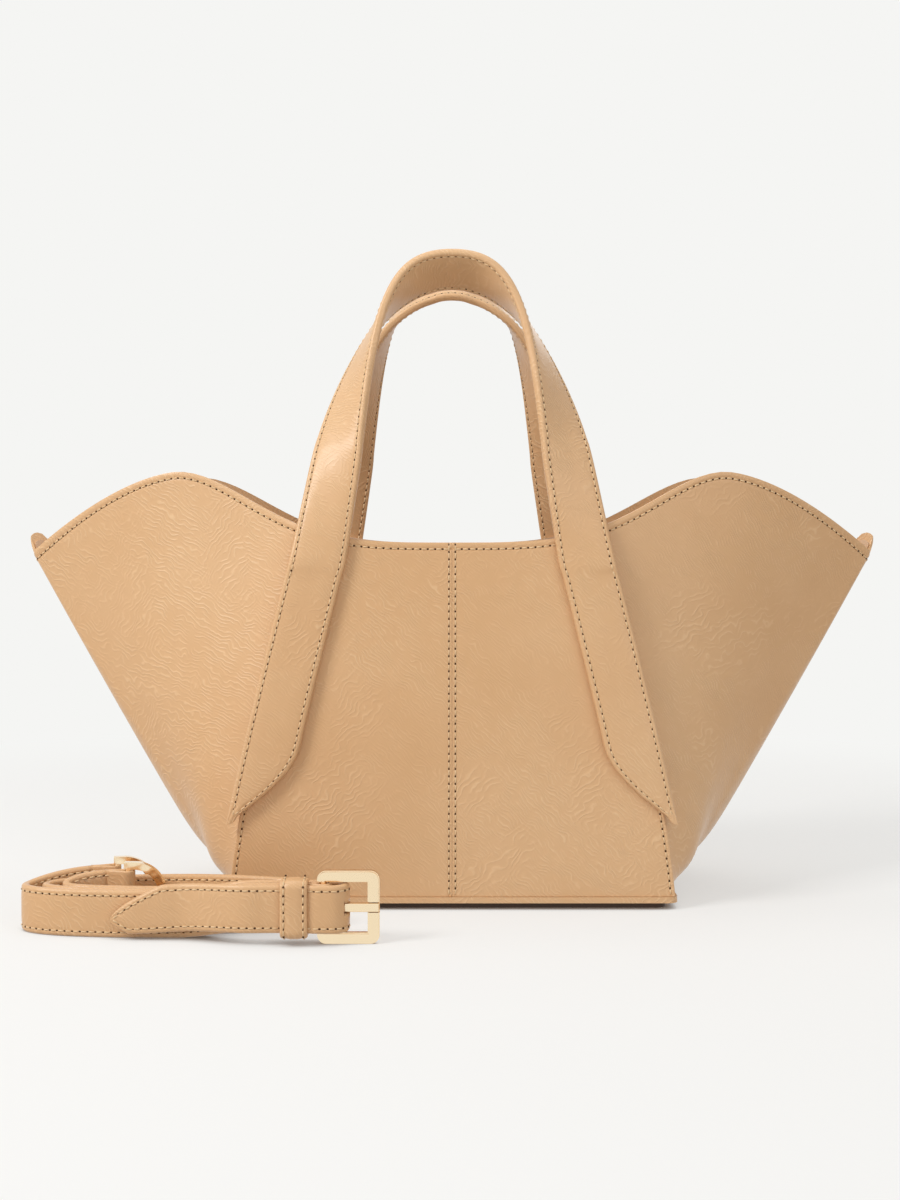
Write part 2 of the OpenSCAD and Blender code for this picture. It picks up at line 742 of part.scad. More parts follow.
// Snap hooks. In a hook's own frame the eye's bar stands at the origin and the hook points along +X.

neck_x = eye_h / 2 + 3;
stem_r = 1.5;
body_x = neck_x + 3.2;
// The hooks lie on their sides, turned a quarter on their swivels
module place_long_hook(roll = 90) {
    translate([long_tip[0], long_tip[1], eye_z]) rotate([0, 0, long_aim]) translate([eye_reach, 0, 0]) rotate([roll, 0, 0]) children();
}
module place_short_hook(roll = 90) {
    translate([short_tip[0], short_tip[1], eye_z]) rotate([0, 0, short_aim]) translate([eye_reach, 0, 0]) rotate([roll, 0, 0]) children();
}
module upright(t) {
    rotate([90, 0, 0]) translate([0, 0, -t / 2]) linear_extrude(t) children();
}
module hook_eye() {
    d = 2 * bar_r;
    inner = eye_h / 2 - d;
    color(gold)
        difference() {
            union() {
                upright(d)
                    difference() {
                        union() {
                            translate([3, 0]) circle(eye_h / 2, $fn = 96);
                            translate([-bar_r, -eye_h / 2]) square([bar_r + 3, eye_h]);
                        }
                        translate([3, 0]) circle(inner, $fn = 96);
                        translate([-bar_r - 1, -inner]) square([bar_r + 4, 2 * inner]);
                        translate([-eye_h, -eye_h]) square([eye_h - bar_r, 2 * eye_h]);
                    }
                cylinder(r = bar_r, h = 2 * inner + 1, center = true, $fn = 48);
                translate([neck_x - 1.6, 0, 0]) rotate([0, 90, 0]) cylinder(r = 3, h = 3.4, $fn = 48);
            }
            rotate([0, 90, 0]) cylinder(r = stem_r + running, h = 2 * neck_x, $fn = 48);
            translate([neck_x - 6.4, 0, 0]) rotate([0, 90, 0]) cylinder(r = 3.1, h = 4, $fn = 48);
        }
}
gate_pivot = [body_x + 4.4, hook_w / 2 - 1.6];
gate_tip = body_x + hook_len - 6.2;
hollow_r = hook_w / 2 - 2.7;
module hook_body() {
    r = hook_w / 2;
    far = body_x + hook_len - r;
    color(gold)
        difference() {
            union() {
                upright(hook_t)
                    difference() {
                        union() {
                            translate([body_x + r, -r]) square([hook_len - 2 * r, 2 * r]);
                            translate([far, 0]) circle(r, $fn = 64);
                            translate([body_x + r, 0]) circle(r, $fn = 64);
                        }
                        translate([far, 0]) circle(hollow_r, $fn = 48);
                        translate([body_x + 7, -hollow_r]) square([far - body_x - 7, 2 * hollow_r]);
                        translate([gate_pivot[0], 0]) square([gate_tip - gate_pivot[0] + clear, r + 1]);
                    }
                translate([neck_x - 3.6, 0, 0]) rotate([0, 90, 0]) cylinder(r = stem_r, h = body_x - neck_x + 5, $fn = 48);
                translate([neck_x - 4.2, 0, 0]) rotate([0, 90, 0]) cylinder(r = 2.5, h = 1.6, $fn = 48);
            }
            translate([gate_pivot[0] - 2.2, -1.4, gate_pivot[1] - 2.2]) cube([6, 2.8, 6]);
            translate([gate_pivot[0], 0, gate_pivot[1]])
                rotate([90, 0, 0]) cylinder(r = 0.6 + running, h = hook_t + 2, center = true, $fn = 32);
        }
}
module hook_gate() {
    color(gold)
        difference() {
            union() {
                translate([gate_pivot[0], 0, gate_pivot[1]])
                    rotate([90, 0, 0]) cylinder(r = 1.4, h = 2.2, center = true, $fn = 48);
                translate([gate_pivot[0], -1.1, gate_pivot[1] - 1.4])
                    cube([gate_tip - gate_pivot[0] - clear, 2.2, 2.2]);
                translate([gate_pivot[0] + 5.2, 0, gate_pivot[1] + 0.2])
                    rotate([90, 0, 0]) cylinder(r = 1.6, h = 2.2, center = true, $fn = 48);
            }
            translate([gate_pivot[0], 0, gate_pivot[1]])
                rotate([90, 0, 0]) cylinder(r = 0.6 + running, h = 6, center = true, $fn = 32);
        }
}
module hook_pin() {
    color(gold)
        translate([gate_pivot[0], 0, gate_pivot[1]])
            rotate([90, 0, 0]) cylinder(r = 0.6, h = hook_t, center = true, $fn = 32);
}
module hook_eye_long() {
    place_long_hook(0) hook_eye();
}
module hook_body_long() {
    place_long_hook() hook_body();
}
module hook_gate_long() {
    place_long_hook() hook_gate();
}
module hook_pin_long() {
    place_long_hook() hook_pin();
}
module hook_eye_short() {
    place_short_hook(0) hook_eye();
}
module hook_body_short() {
    place_short_hook() hook_body();
}
module hook_gate_short() {
    place_short_hook() hook_gate();
}
module hook_pin_short() {
    place_short_hook() hook_pin();
}

base_panel();
base_welt();
base_board();
base_lining();
front_panel_left();
front_panel_right();
back_panel_left();
back_panel_right();
side_gusset_left();
side_gusset_right();
front_board();
back_board();
front_lining();
back_lining();
side_lining_left();
side_lining_right();
slip_pocket();
front_handle_tab_left();
front_handle_tab_right();
front_handle_loop();
back_handle_tab_left();
back_handle_tab_right();
back_handle_loop();
ring_tab_left();
ring_tab_right();
ring_left();
ring_right();
strap_long();
strap_short();
strap_keeper();
buckle_frame();
buckle_prong();
hook_eye_long();
hook_body_long();
hook_gate_long();
hook_pin_long();
hook_eye_short();
hook_body_short();
hook_gate_short();
hook_pin_short();
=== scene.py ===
import bpy
import bmesh
import json
import math
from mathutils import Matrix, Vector


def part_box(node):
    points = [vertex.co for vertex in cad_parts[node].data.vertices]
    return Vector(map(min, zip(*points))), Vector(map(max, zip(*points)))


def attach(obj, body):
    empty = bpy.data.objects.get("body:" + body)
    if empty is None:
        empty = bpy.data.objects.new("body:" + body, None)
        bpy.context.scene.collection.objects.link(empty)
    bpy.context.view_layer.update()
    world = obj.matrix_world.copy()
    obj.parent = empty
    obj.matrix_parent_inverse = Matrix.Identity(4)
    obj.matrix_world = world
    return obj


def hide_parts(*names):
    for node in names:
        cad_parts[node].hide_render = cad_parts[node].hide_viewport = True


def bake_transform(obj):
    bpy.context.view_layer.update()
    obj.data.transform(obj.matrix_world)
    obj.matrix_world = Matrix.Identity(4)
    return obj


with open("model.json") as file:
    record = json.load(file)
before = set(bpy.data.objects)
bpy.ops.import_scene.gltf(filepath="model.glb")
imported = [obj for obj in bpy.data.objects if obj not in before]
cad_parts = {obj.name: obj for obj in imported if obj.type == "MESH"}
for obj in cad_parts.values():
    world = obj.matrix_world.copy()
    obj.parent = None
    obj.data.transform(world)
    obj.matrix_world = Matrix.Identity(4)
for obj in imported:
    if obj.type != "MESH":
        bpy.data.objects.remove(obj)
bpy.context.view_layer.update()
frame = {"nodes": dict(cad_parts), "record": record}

mm = 0.001


# small helpers

def srgb(code, alpha=1.0):
    # a hex colour as written on screen, to the linear values that sockets take
    code = code.lstrip("#")
    out = []
    for i in (0, 2, 4):
        c = int(code[i:i + 2], 16) / 255
        out.append(c / 12.92 if c <= 0.04045 else ((c + 0.055) / 1.055) ** 2.4)
    return (*out, alpha)


def smooth(t):
    # an even start and an even stop
    t = min(1.0, max(0.0, t))
    return t * t * (3 - 2 * t)


def mix(a, b, t):
    return a + (b - a) * t


def addNode(tree, kind, links=None, **settings):
    # one node with its settings, its input values and its links
    node = tree.nodes.new(kind)
    for key, value in settings.items():
        setattr(node, key, value)
    for socket, value in (links or {}).items():
        target = node.inputs[socket]
        if isinstance(value, bpy.types.NodeSocket):
            tree.links.new(value, target)
        else:
            target.default_value = value
    return node


def newMaterial(name):
    material = bpy.data.materials.new(name)
    material.use_nodes = True
    tree = material.node_tree
    tree.nodes.clear()
    out = addNode(tree, "ShaderNodeOutputMaterial")
    shader = addNode(tree, "ShaderNodeBsdfPrincipled")
    tree.links.new(shader.outputs[0], out.inputs[0])
    return material, tree, shader


# materials

# sizes in millimetres: wrinkleMm is half the step of the bands, wanderMm the size of their bends, ridgeMm the
# length a ridge keeps; real pores are finer than 0.45, which is as fine as the picture can show
leatherLook = {
    # the deep tone and the hollow tint give painted shade between the ridges; the ridge tone and the crest tint a
    # painted highlight on their tops
    "base": "#D8AD7F", "pale": "#E1B98D", "deep": "#BB8D60", "ridge": "#F0D3A9",
    "roughness": 0.40, "rougher": 0.06, "smoother": 0.05, "specular": 0.32, "coat": 0.16, "coatRoughness": 0.2,
    "wrinkleMm": 1.7, "wanderMm": 8, "bend": 15.0, "sharpness": 3.2, "ridgeMm": 5, "finerShare": 0.62,
    "coarseHeight": 0.8, "areaMm": 33, "patchMm": 62, "quiet": 0.4, "cloudMm": 110,
    "wrinkleDepth": 0.68, "wrinkleHeight": 0.0002, "poreMm": 0.45, "poreDepth": 0.12, "poreHeight": 0.0001,
    "hollowShadeTint": 0.16, "ridgeHighlightTint": 0.22,
}
waveStep = 314  # a wave of this scale repeats every 2 mm along an axis


def wrinkles(tree, place, look, flip, seed, share):
    # long wandering ridges: slanting bands bent by a coarse noise, then sharpened
    turned = addNode(tree, "ShaderNodeVectorMath", {0: place, 1: (flip, 1, 1)}, operation="MULTIPLY")
    moved = addNode(tree, "ShaderNodeVectorMath", {0: turned.outputs[0], 1: (seed, seed * 0.7, -seed)},
                    operation="ADD")
    scale = waveStep / (look["wrinkleMm"] * share)
    band = addNode(tree, "ShaderNodeTexWave", {"Vector": moved.outputs[0], "Scale": scale,
                                               "Distortion": look["bend"], "Detail": 1.6,
                                               "Detail Scale": 1000 / look["wanderMm"] / scale,
                                               "Detail Roughness": 0.55},
                   wave_type="BANDS", bands_direction="DIAGONAL", wave_profile="SIN")
    sharp = addNode(tree, "ShaderNodeMath", {0: band.outputs["Fac"], 1: look["sharpness"]}, operation="POWER")
    # each ridge runs for a few millimetres, then fades
    gaps = addNode(tree, "ShaderNodeTexNoise", {"Vector": moved.outputs[0], "Scale": 1000 / look["ridgeMm"],
                                                "Detail": 1.0})
    broken = addNode(tree, "ShaderNodeMapRange", {"Value": gaps.outputs[0], "From Min": 0.30, "From Max": 0.52})
    return addNode(tree, "ShaderNodeMath", {0: sharp.outputs[0], 1: broken.outputs[0]},
                   operation="MULTIPLY").outputs[0]


def makeLeather(name, look):
    # fine pores, and soft ridges where the hide has been milled
    material, tree, shader = newMaterial(name)
    place = addNode(tree, "ShaderNodeTexCoord").outputs["Object"]
    first = wrinkles(tree, place, look, -1, 0.13, 1.0)
    second = wrinkles(tree, place, look, 1, 0.37, look["finerShare"])
    # coarser ridges keep to some areas, finer ones fill the rest
    area = addNode(tree, "ShaderNodeTexNoise", {"Vector": place, "Scale": 1000 / look["areaMm"], "Detail": 2.0})
    areaMask = addNode(tree, "ShaderNodeMapRange", {"Value": area.outputs[0], "From Min": 0.50, "From Max": 0.60})
    shallow = addNode(tree, "ShaderNodeMath", {0: first, 1: look["coarseHeight"]}, operation="MULTIPLY")
    ridge = addNode(tree, "ShaderNodeMix", {"Factor": areaMask.outputs[0], 2: second, 3: shallow.outputs[0]})
    # the ridges come and go over the hide
    patch = addNode(tree, "ShaderNodeTexNoise", {"Vector": place, "Scale": 1000 / look["patchMm"], "Detail": 3.0,
                                                 "Roughness": 0.6})
    patchMask = addNode(tree, "ShaderNodeMapRange", {"Value": patch.outputs[0], "From Min": 0.34, "From Max": 0.60,
                                                     "To Min": look["quiet"]})
    relief = addNode(tree, "ShaderNodeMath", {0: ridge.outputs[0], 1: patchMask.outputs[0]}, operation="MULTIPLY")
    pore = addNode(tree, "ShaderNodeTexVoronoi", {"Vector": place, "Scale": 1000 / look["poreMm"]},
                   feature="SMOOTH_F1")
    # the dye lies a little unevenly
    cloud = addNode(tree, "ShaderNodeTexNoise", {"Vector": place, "Scale": 1000 / look["cloudMm"], "Detail": 5.0,
                                                 "Roughness": 0.55})
    cloudMask = addNode(tree, "ShaderNodeMapRange", {"Value": cloud.outputs[0], "From Min": 0.35,
                                                     "From Max": 0.65})
    tone = addNode(tree, "ShaderNodeMix", {"Factor": cloudMask.outputs[0], 6: srgb(look["base"]),
                                           7: srgb(look["pale"])}, data_type="RGBA")
    # painted shade: between the ridges the colour is drawn towards the deep tone
    hollowShade = addNode(tree, "ShaderNodeMath", {0: relief.outputs[0], 1: -look["hollowShadeTint"],
                                              2: look["hollowShadeTint"]}, operation="MULTIPLY_ADD")
    colour = addNode(tree, "ShaderNodeMix", {"Factor": hollowShade.outputs[0], 6: tone.outputs[2],
                                             7: srgb(look["deep"])}, data_type="RGBA")
    # painted highlight: the ridge tops are coloured paler, where light would catch them
    ridgeHighlight = addNode(tree, "ShaderNodeMapRange", {"Value": relief.outputs[0], "From Min": 0.35, "From Max": 0.85,
                                                 "To Max": look["ridgeHighlightTint"]})
    highlightedColour = addNode(tree, "ShaderNodeMix", {"Factor": ridgeHighlight.outputs[0], 6: colour.outputs[2],
                                           7: srgb(look["ridge"])}, data_type="RGBA")
    tree.links.new(highlightedColour.outputs[2], shader.inputs["Base Color"])
    shine = addNode(tree, "ShaderNodeMapRange", {"Value": patch.outputs[0], "From Min": 0.3, "From Max": 0.7,
                                                 "To Min": look["roughness"] - look["smoother"],
                                                 "To Max": look["roughness"] + look["rougher"]})
    tree.links.new(shine.outputs[0], shader.inputs["Roughness"])
    low = addNode(tree, "ShaderNodeBump", {"Height": relief.outputs[0], "Strength": look["wrinkleDepth"],
                                           "Distance": look["wrinkleHeight"]})
    fine = addNode(tree, "ShaderNodeBump", {"Height": pore.outputs["Distance"], "Strength": look["poreDepth"],
                                            "Distance": look["poreHeight"], "Normal": low.outputs[0]})
    tree.links.new(fine.outputs[0], shader.inputs["Normal"])
    shader.inputs["Specular IOR Level"].default_value = look["specular"]
    shader.inputs["Coat Weight"].default_value = look["coat"]
    shader.inputs["Coat Roughness"].default_value = look["coatRoughness"]
    return material


# fibres are drawn coarser than real ones, so that they show
plainLook = {"cloudMm": 33, "fibreDepth": 0.25, "fibreHeight": 0.0002, "specular": 0.35}


def makePlainHide(name, base, pale, roughness, fibreMm):
    # a dull surface of short fibres in two near tones
    material, tree, shader = newMaterial(name)
    place = addNode(tree, "ShaderNodeTexCoord").outputs["Object"]
    fibre = addNode(tree, "ShaderNodeTexNoise", {"Vector": place, "Scale": 1000 / fibreMm, "Detail": 4.0})
    cloud = addNode(tree, "ShaderNodeTexNoise", {"Vector": place, "Scale": 1000 / plainLook["cloudMm"],
                                                 "Detail": 3.0})
    colour = addNode(tree, "ShaderNodeMix", {"Factor": cloud.outputs[0], 6: srgb(base), 7: srgb(pale)},
                     data_type="RGBA")
    tree.links.new(colour.outputs[2], shader.inputs["Base Color"])
    bump = addNode(tree, "ShaderNodeBump", {"Height": fibre.outputs[0], "Strength": plainLook["fibreDepth"],
                                            "Distance": plainLook["fibreHeight"]})
    tree.links.new(bump.outputs[0], shader.inputs["Normal"])
    shader.inputs["Roughness"].default_value = roughness
    shader.inputs["Specular IOR Level"].default_value = plainLook["specular"]
    return material


goldLook = {"waveMm": 6.5, "waveDepth": 0.5, "waveHeight": 0.0012,
            "wipeMm": 1.1, "wipeDepth": 0.03, "wipeHeight": 0.00005}


def makeGold(name, base, roughness):
    # polished by hand, so the faces wave a little and carry faint wipe marks
    material, tree, shader = newMaterial(name)
    place = addNode(tree, "ShaderNodeTexCoord").outputs["Object"]
    hand = addNode(tree, "ShaderNodeTexNoise", {"Vector": place, "Scale": 1000 / goldLook["waveMm"], "Detail": 1.0})
    wave = addNode(tree, "ShaderNodeBump", {"Height": hand.outputs[0], "Strength": goldLook["waveDepth"],
                                            "Distance": goldLook["waveHeight"]})
    wipe = addNode(tree, "ShaderNodeTexNoise", {"Vector": place, "Scale": 1000 / goldLook["wipeMm"], "Detail": 3.0})
    bump = addNode(tree, "ShaderNodeBump", {"Height": wipe.outputs[0], "Strength": goldLook["wipeDepth"],
                                            "Distance": goldLook["wipeHeight"], "Normal": wave.outputs[0]})
    tree.links.new(bump.outputs[0], shader.inputs["Normal"])
    shader.inputs["Base Color"].default_value = srgb(base)
    shader.inputs["Metallic"].default_value = 1.0
    shader.inputs["Roughness"].default_value = roughness
    return material


# tanned calf, glazed: a warm smooth skin, fine ridges catching the light, with painted shade between them and a
# painted highlight on their tops
calf = makeLeather("glazedCalfLeather", leatherLook)
# edge paint rolled over the cut: a satin rim, a shade duller than the face
edgePaint = makePlainHide("paintedLeatherEdge", "#D0A578", "#DDB68B", 0.45, 0.5)
# split suede, buffed: a dry pinkish nap inside the bag
suede = makePlainHide("splitSuedeLining", "#CDA988", "#D9B898", 0.9, 0.35)
# painted shade: near black brown on the base's side faces, for the shadow in the gap between the welt and the floor
baseEdgeShade = makePlainHide("baseEdgeShadeColour", "#3B2A1E", "#4A3526", 0.5, 0.5)
# pressed fibre board: dull grey brown, between leather and lining
greyBoard = makePlainHide("pressedBoard", "#8A7A66", "#978672", 0.9, 0.6)
# pale gold plating on cast zinc: bright flat faces
gold = makeGold("paleGoldPlating", "#FCE6C2", 0.14)
# painted reflection: the same plating coloured deeper on each face's edges, for the darker surroundings they
# reflect
edgeReflectionGold = makeGold("goldEdgeReflection", "#D7A768", 0.2)
# waxed linen thread: short dashes a little paler than the leather
thread = makePlainHide("waxedThread", "#D6B488", "#E6CAA2", 0.55, 0.25)
# painted shade: a dark brown dot for the shaded hollow of a punched hole between two stitches
needleHoleShade = makePlainHide("needleHoleShade", "#5A3A20", "#4A2E18", 0.9, 0.3)
print("materials done")


# the walls' shape, as the model of the bag has it, in millimetres

bag = {
    "baseLen": 188, "baseDepth": 120, "rimDepth": 103, "rimH": 154, "humpRise": 30.6, "humpX": 119,
    "foldRimH": 149, "foldX": 190.8, "foldSwell": 0.06, "foldStart": 14.5, "foldR": 5,
    "panelTopHalf": 65, "seamCurve": 1.32, "faceCurve": 1.4, "radiusCurve": 2.2, "humpCurve": 1.85,
    "shoulderCurve": 1.57, "belly": 2, "wingSwell": 3, "baseSwell": 6, "earRise": 6.5, "earHalf": 4.8,
    "leather": 1.5, "lining": 0.6, "liningBelow": 3.2, "glue": 0.05, "lap": 8, "wallZ": 5.45, "flatShare": 0.72,
}
liningH = 2 * bag["leather"] + 2 * bag["glue"]


def seamX(z):
    # half the panel's width at a height
    half = bag["baseLen"] / 2
    return half - (half - bag["panelTopHalf"]) * (max(0, z) / bag["rimH"]) ** bag["seamCurve"]


def faceY(z):
    # how far the front stands before the middle
    lean = (bag["baseDepth"] - bag["rimDepth"]) / 2
    return bag["baseDepth"] / 2 - lean * (max(0, z) / bag["rimH"]) ** bag["faceCurve"]


def rise(z):
    # 0 at the wall's foot, 1 at the fold's rim
    return (z - bag["wallZ"]) / (bag["foldRimH"] - bag["wallZ"])


def foldAt(z):
    # where the wing folds
    t = rise(z)
    half = bag["baseLen"] / 2
    start = bag["foldStart"] * (1 - max(0, 1 - t) ** 20)
    return half + start + (bag["foldX"] - half - bag["foldStart"]) * t * (1 + bag["foldSwell"] * (1 - t))


def foldRadius(z):
    return bag["foldR"] + (faceY(z) - bag["foldR"]) * max(0, 1 - rise(z)) ** bag["radiusCurve"]


def bellyAt(x, z):
    across = max(0, math.cos(math.pi / 2 * x / seamX(z)))
    return bag["belly"] * math.sin(math.pi * min(1, z / bag["rimH"])) * across


def rimAt(x):
    # low in the middle, a hump, then down to the fold
    a = abs(x)
    if a < bag["humpX"]:
        turn = math.pi * (a / bag["humpX"]) ** bag["humpCurve"]
        return bag["rimH"] + bag["humpRise"] * (1 - math.cos(turn)) / 2
    u = min(1, (a - bag["humpX"]) / (bag["foldX"] - bag["humpX"]))
    top = bag["rimH"] + bag["humpRise"]
    return top - (top - bag["foldRimH"]) * u ** bag["shoulderCurve"]


def sidePoint(q, z):
    # q runs from the front seam (0) round the fold (1) to the back seam (2)
    if q > 1:
        x, y = sidePoint(2 - q, z)
        return x, -y
    w, d, r = seamX(z), faceY(z), foldRadius(z)
    cx = foldAt(z) - r
    aim = math.atan2(-d, w - cx) + math.acos(min(1, r / math.hypot(w - cx, d)))
    ox, oy = math.cos(aim), math.sin(aim)
    if q < bag["flatShare"]:
        s = q / bag["flatShare"]
        up = rise(z)
        left = max(0, 1 - up)
        swell = bag["wingSwell"] * up + bag["baseSwell"] * (1 - left ** 20) * left ** 2.5
        swell *= math.sin(math.pi * s) ** 2
        return mix(w, cx + r * ox, s) + ox * swell, mix(-d, r * oy, s) + oy * swell
    turn = aim * (1 - (q - bag["flatShare"]) / (1 - bag["flatShare"]))
    return cx + r * math.cos(turn), r * math.sin(turn)


def sideInset(q, z, h):
    # the same point, h further inside the bag; at the seams it keeps to the front's plane
    e = 0.01
    ax, ay = sidePoint(max(0, q - e), z)
    bx, by = sidePoint(min(2, q + e), z)
    size = math.hypot(bx - ax, by - ay)
    nx, ny = (by - ay) / size, -(bx - ax) / size
    ux, uy = sidePoint(q, z + 1)
    lx, ly = sidePoint(q, z - 1)
    lean = (nx * (ux - lx) + ny * (uy - ly)) / 2
    k = math.sqrt(1 + lean * lean)
    x, y = sidePoint(q, z)
    if q < 1e-6 or q > 2 - 1e-6:
        fy = -1 if q < 1 else 1
        c = fy * ny
        mx = nx * (k - c) / (1 - c * c)
        my = (fy * (1 - k * c) + ny * (k - c)) / (1 - c * c)
        return x - mx * h, y - my * h
    return x - nx * k * h, y - ny * k * h


def earAt(q, z):
    # the back half of the fold stands up as a round nub behind the front one
    if q <= 1:
        return 0
    u = (sidePoint(1, z)[0] - sidePoint(q, z)[0]) / bag["earHalf"] - 1
    return bag["earRise"] * math.sqrt(max(0, 1 - u * u))


def rimHeight(q):
    # the wing leans, so its rim is found in a few steps
    z = bag["rimH"]
    for _ in range(8):
        z = rimAt(sidePoint(q, z)[0])
    return z + earAt(q, z)


# meshes

def meshObject(name, points, faces, materials, slots=None, outward=True):
    mesh = bpy.data.meshes.new(name)
    mesh.from_pydata([[c * mm for c in p] for p in points], [], faces)
    for material in materials:
        mesh.materials.append(material)
    if slots:
        mesh.polygons.foreach_set("material_index", slots)
    if outward:
        bm = bmesh.new()
        bm.from_mesh(mesh)
        bmesh.ops.recalc_face_normals(bm, faces=bm.faces)
        bm.to_mesh(mesh)
        bm.free()
    mesh.polygons.foreach_set("use_smooth", [True] * len(mesh.polygons))
    thing = bpy.data.objects.new(name, mesh)
    bpy.context.scene.collection.objects.link(thing)
    return thing


def bake(thing):
    # turns live modifiers into a plain mesh
    bpy.context.view_layer.update()
    evaluated = thing.evaluated_get(bpy.context.evaluated_depsgraph_get())
    mesh = bpy.data.meshes.new_from_object(evaluated)
    mesh.name = thing.name
    thing.modifiers.clear()
    thing.data = mesh
    return thing


def soften(thing, widthMm, segments=2, angle=40):
    bevel = thing.modifiers.new("bevel", "BEVEL")
    bevel.width = widthMm * mm
    bevel.segments = segments
    bevel.limit_method = "ANGLE"
    bevel.angle_limit = math.radians(angle)
    bevel.harden_normals = False
    weighted = thing.modifiers.new("normals", "WEIGHTED_NORMAL")
    weighted.keep_sharp = False
    return bake(thing)


def sheetPiece(name, outer, inner, materials, bevelMm):
    # a closed sheet between two grids: outer face, inner face, cut edge all round
    rows, cols = len(outer), len(outer[0])
    points = [p for row in outer for p in row] + [p for row in inner for p in row]
    n = rows * cols

    def at(s, r, c):
        return s * n + r * cols + c

    faces, slots = [], []
    for r in range(rows - 1):
        for c in range(cols - 1):
            faces.append((at(0, r, c), at(0, r, c + 1), at(0, r + 1, c + 1), at(0, r + 1, c)))
            slots.append(0)
            faces.append((at(1, r, c), at(1, r + 1, c), at(1, r + 1, c + 1), at(1, r, c + 1)))
            slots.append(1)
    rim = [(0, c) for c in range(cols)] + [(r, cols - 1) for r in range(1, rows)]
    rim += [(rows - 1, c) for c in range(cols - 2, -1, -1)] + [(r, 0) for r in range(rows - 2, 0, -1)]
    for (r0, c0), (r1, c1) in zip(rim, rim[1:] + rim[:1]):
        faces.append((at(0, r0, c0), at(1, r0, c0), at(1, r1, c1), at(0, r1, c1)))
        slots.append(2)
    thing = meshObject(name, points, faces, materials, slots)
    return soften(thing, bevelMm) if bevelMm else thing


def mirrored(grid, x=1, y=1):
    return [[(p[0] * x, p[1] * y, p[2]) for p in row] for row in grid]


def place(thing, body, slot, *nodes):
    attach(thing, body)
    if nodes:
        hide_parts(*nodes)
    return thing


# stitches: one tree lays thread and needle holes along guide lines

stitchLook = {"pitchMm": 3.1, "lengthMm": 2.2, "threadMm": 0.34, "dipMm": 0.38, "holeMm": 0.45, "proudMm": 0.16}


def buildStitchTree():
    tree = bpy.data.node_groups.new("saddleStitch", "GeometryNodeTree")
    face = tree.interface
    face.new_socket("Guide", in_out="INPUT", socket_type="NodeSocketGeometry")
    sockets = {}
    for key, label in (("pitchMm", "Stitch pitch"), ("lengthMm", "Stitch length"), ("threadMm", "Thread radius"),
                       ("holeMm", "Needle hole radius")):
        sockets[key] = face.new_socket(label, in_out="INPUT", socket_type="NodeSocketFloat").identifier
    face.new_socket("Stitches", in_out="OUTPUT", socket_type="NodeSocketGeometry")
    given = addNode(tree, "NodeGroupInput").outputs
    line = addNode(tree, "GeometryNodeMeshToCurve", {0: given["Guide"]})
    even = addNode(tree, "GeometryNodeResampleCurve", {"Curve": line.outputs[0], "Length": given["Stitch pitch"]},
                   mode="LENGTH")
    normal = addNode(tree, "GeometryNodeInputNamedAttribute", {"Name": "surfaceNormal"}, data_type="FLOAT_VECTOR")
    tangent = addNode(tree, "GeometryNodeInputTangent")
    turn = addNode(tree, "FunctionNodeAxesToRotation", {0: tangent.outputs[0], 1: normal.outputs[0]},
                   primary_axis="X", secondary_axis="Z")
    # the thread: a short round bar whose ends dip into the holes
    bar = addNode(tree, "GeometryNodeMeshCylinder", {"Vertices": 7, "Side Segments": 5,
                                                     "Radius": given["Thread radius"],
                                                     "Depth": given["Stitch length"]})
    lying = addNode(tree, "GeometryNodeTransform", {0: bar.outputs["Mesh"], "Rotation": (0, math.pi / 2, 0)})
    position = addNode(tree, "GeometryNodeInputPosition")
    parts = addNode(tree, "ShaderNodeSeparateXYZ", {0: position.outputs[0]})
    half = addNode(tree, "ShaderNodeMath", {0: given["Stitch length"], 1: 0.5}, operation="MULTIPLY")
    share = addNode(tree, "ShaderNodeMath", {0: parts.outputs[0], 1: half.outputs[0]}, operation="DIVIDE")
    square = addNode(tree, "ShaderNodeMath", {0: share.outputs[0], 1: share.outputs[0]}, operation="MULTIPLY")
    drop = addNode(tree, "ShaderNodeMath", {0: square.outputs[0], 1: -stitchLook["dipMm"] * mm,
                                            2: stitchLook["proudMm"] * mm}, operation="MULTIPLY_ADD")
    lower = addNode(tree, "ShaderNodeCombineXYZ", {2: drop.outputs[0]})
    bent = addNode(tree, "GeometryNodeSetPosition", {0: lying.outputs[0], "Offset": lower.outputs[0]})
    threadPart = addNode(tree, "GeometryNodeSetMaterial", {0: bent.outputs[0], "Material": thread})
    # painted shade: a flat dark disc laid where each needle hole is
    dot = addNode(tree, "GeometryNodeMeshCylinder", {"Vertices": 8, "Radius": given["Needle hole radius"],
                                                     "Depth": 0.00008})
    halfPitch = addNode(tree, "ShaderNodeMath", {0: given["Stitch pitch"], 1: 0.5}, operation="MULTIPLY")
    aside = addNode(tree, "ShaderNodeCombineXYZ", {0: halfPitch.outputs[0]})
    holePlace = addNode(tree, "GeometryNodeTransform", {0: dot.outputs["Mesh"], "Translation": aside.outputs[0]})
    holePart = addNode(tree, "GeometryNodeSetMaterial", {0: holePlace.outputs[0], "Material": needleHoleShade})
    both = addNode(tree, "GeometryNodeJoinGeometry")
    tree.links.new(threadPart.outputs[0], both.inputs[0])
    tree.links.new(holePart.outputs[0], both.inputs[0])
    copies = addNode(tree, "GeometryNodeInstanceOnPoints", {0: even.outputs[0], "Instance": both.outputs[0],
                                                            "Rotation": turn.outputs[0]})
    real = addNode(tree, "GeometryNodeRealizeInstances", {0: copies.outputs[0]})
    soft = addNode(tree, "GeometryNodeSetShadeSmooth", {0: real.outputs[0]})
    out = addNode(tree, "NodeGroupOutput")
    tree.links.new(soft.outputs[0], out.inputs[0])
    return tree, sockets


stitchTree, stitchSockets = buildStitchTree()


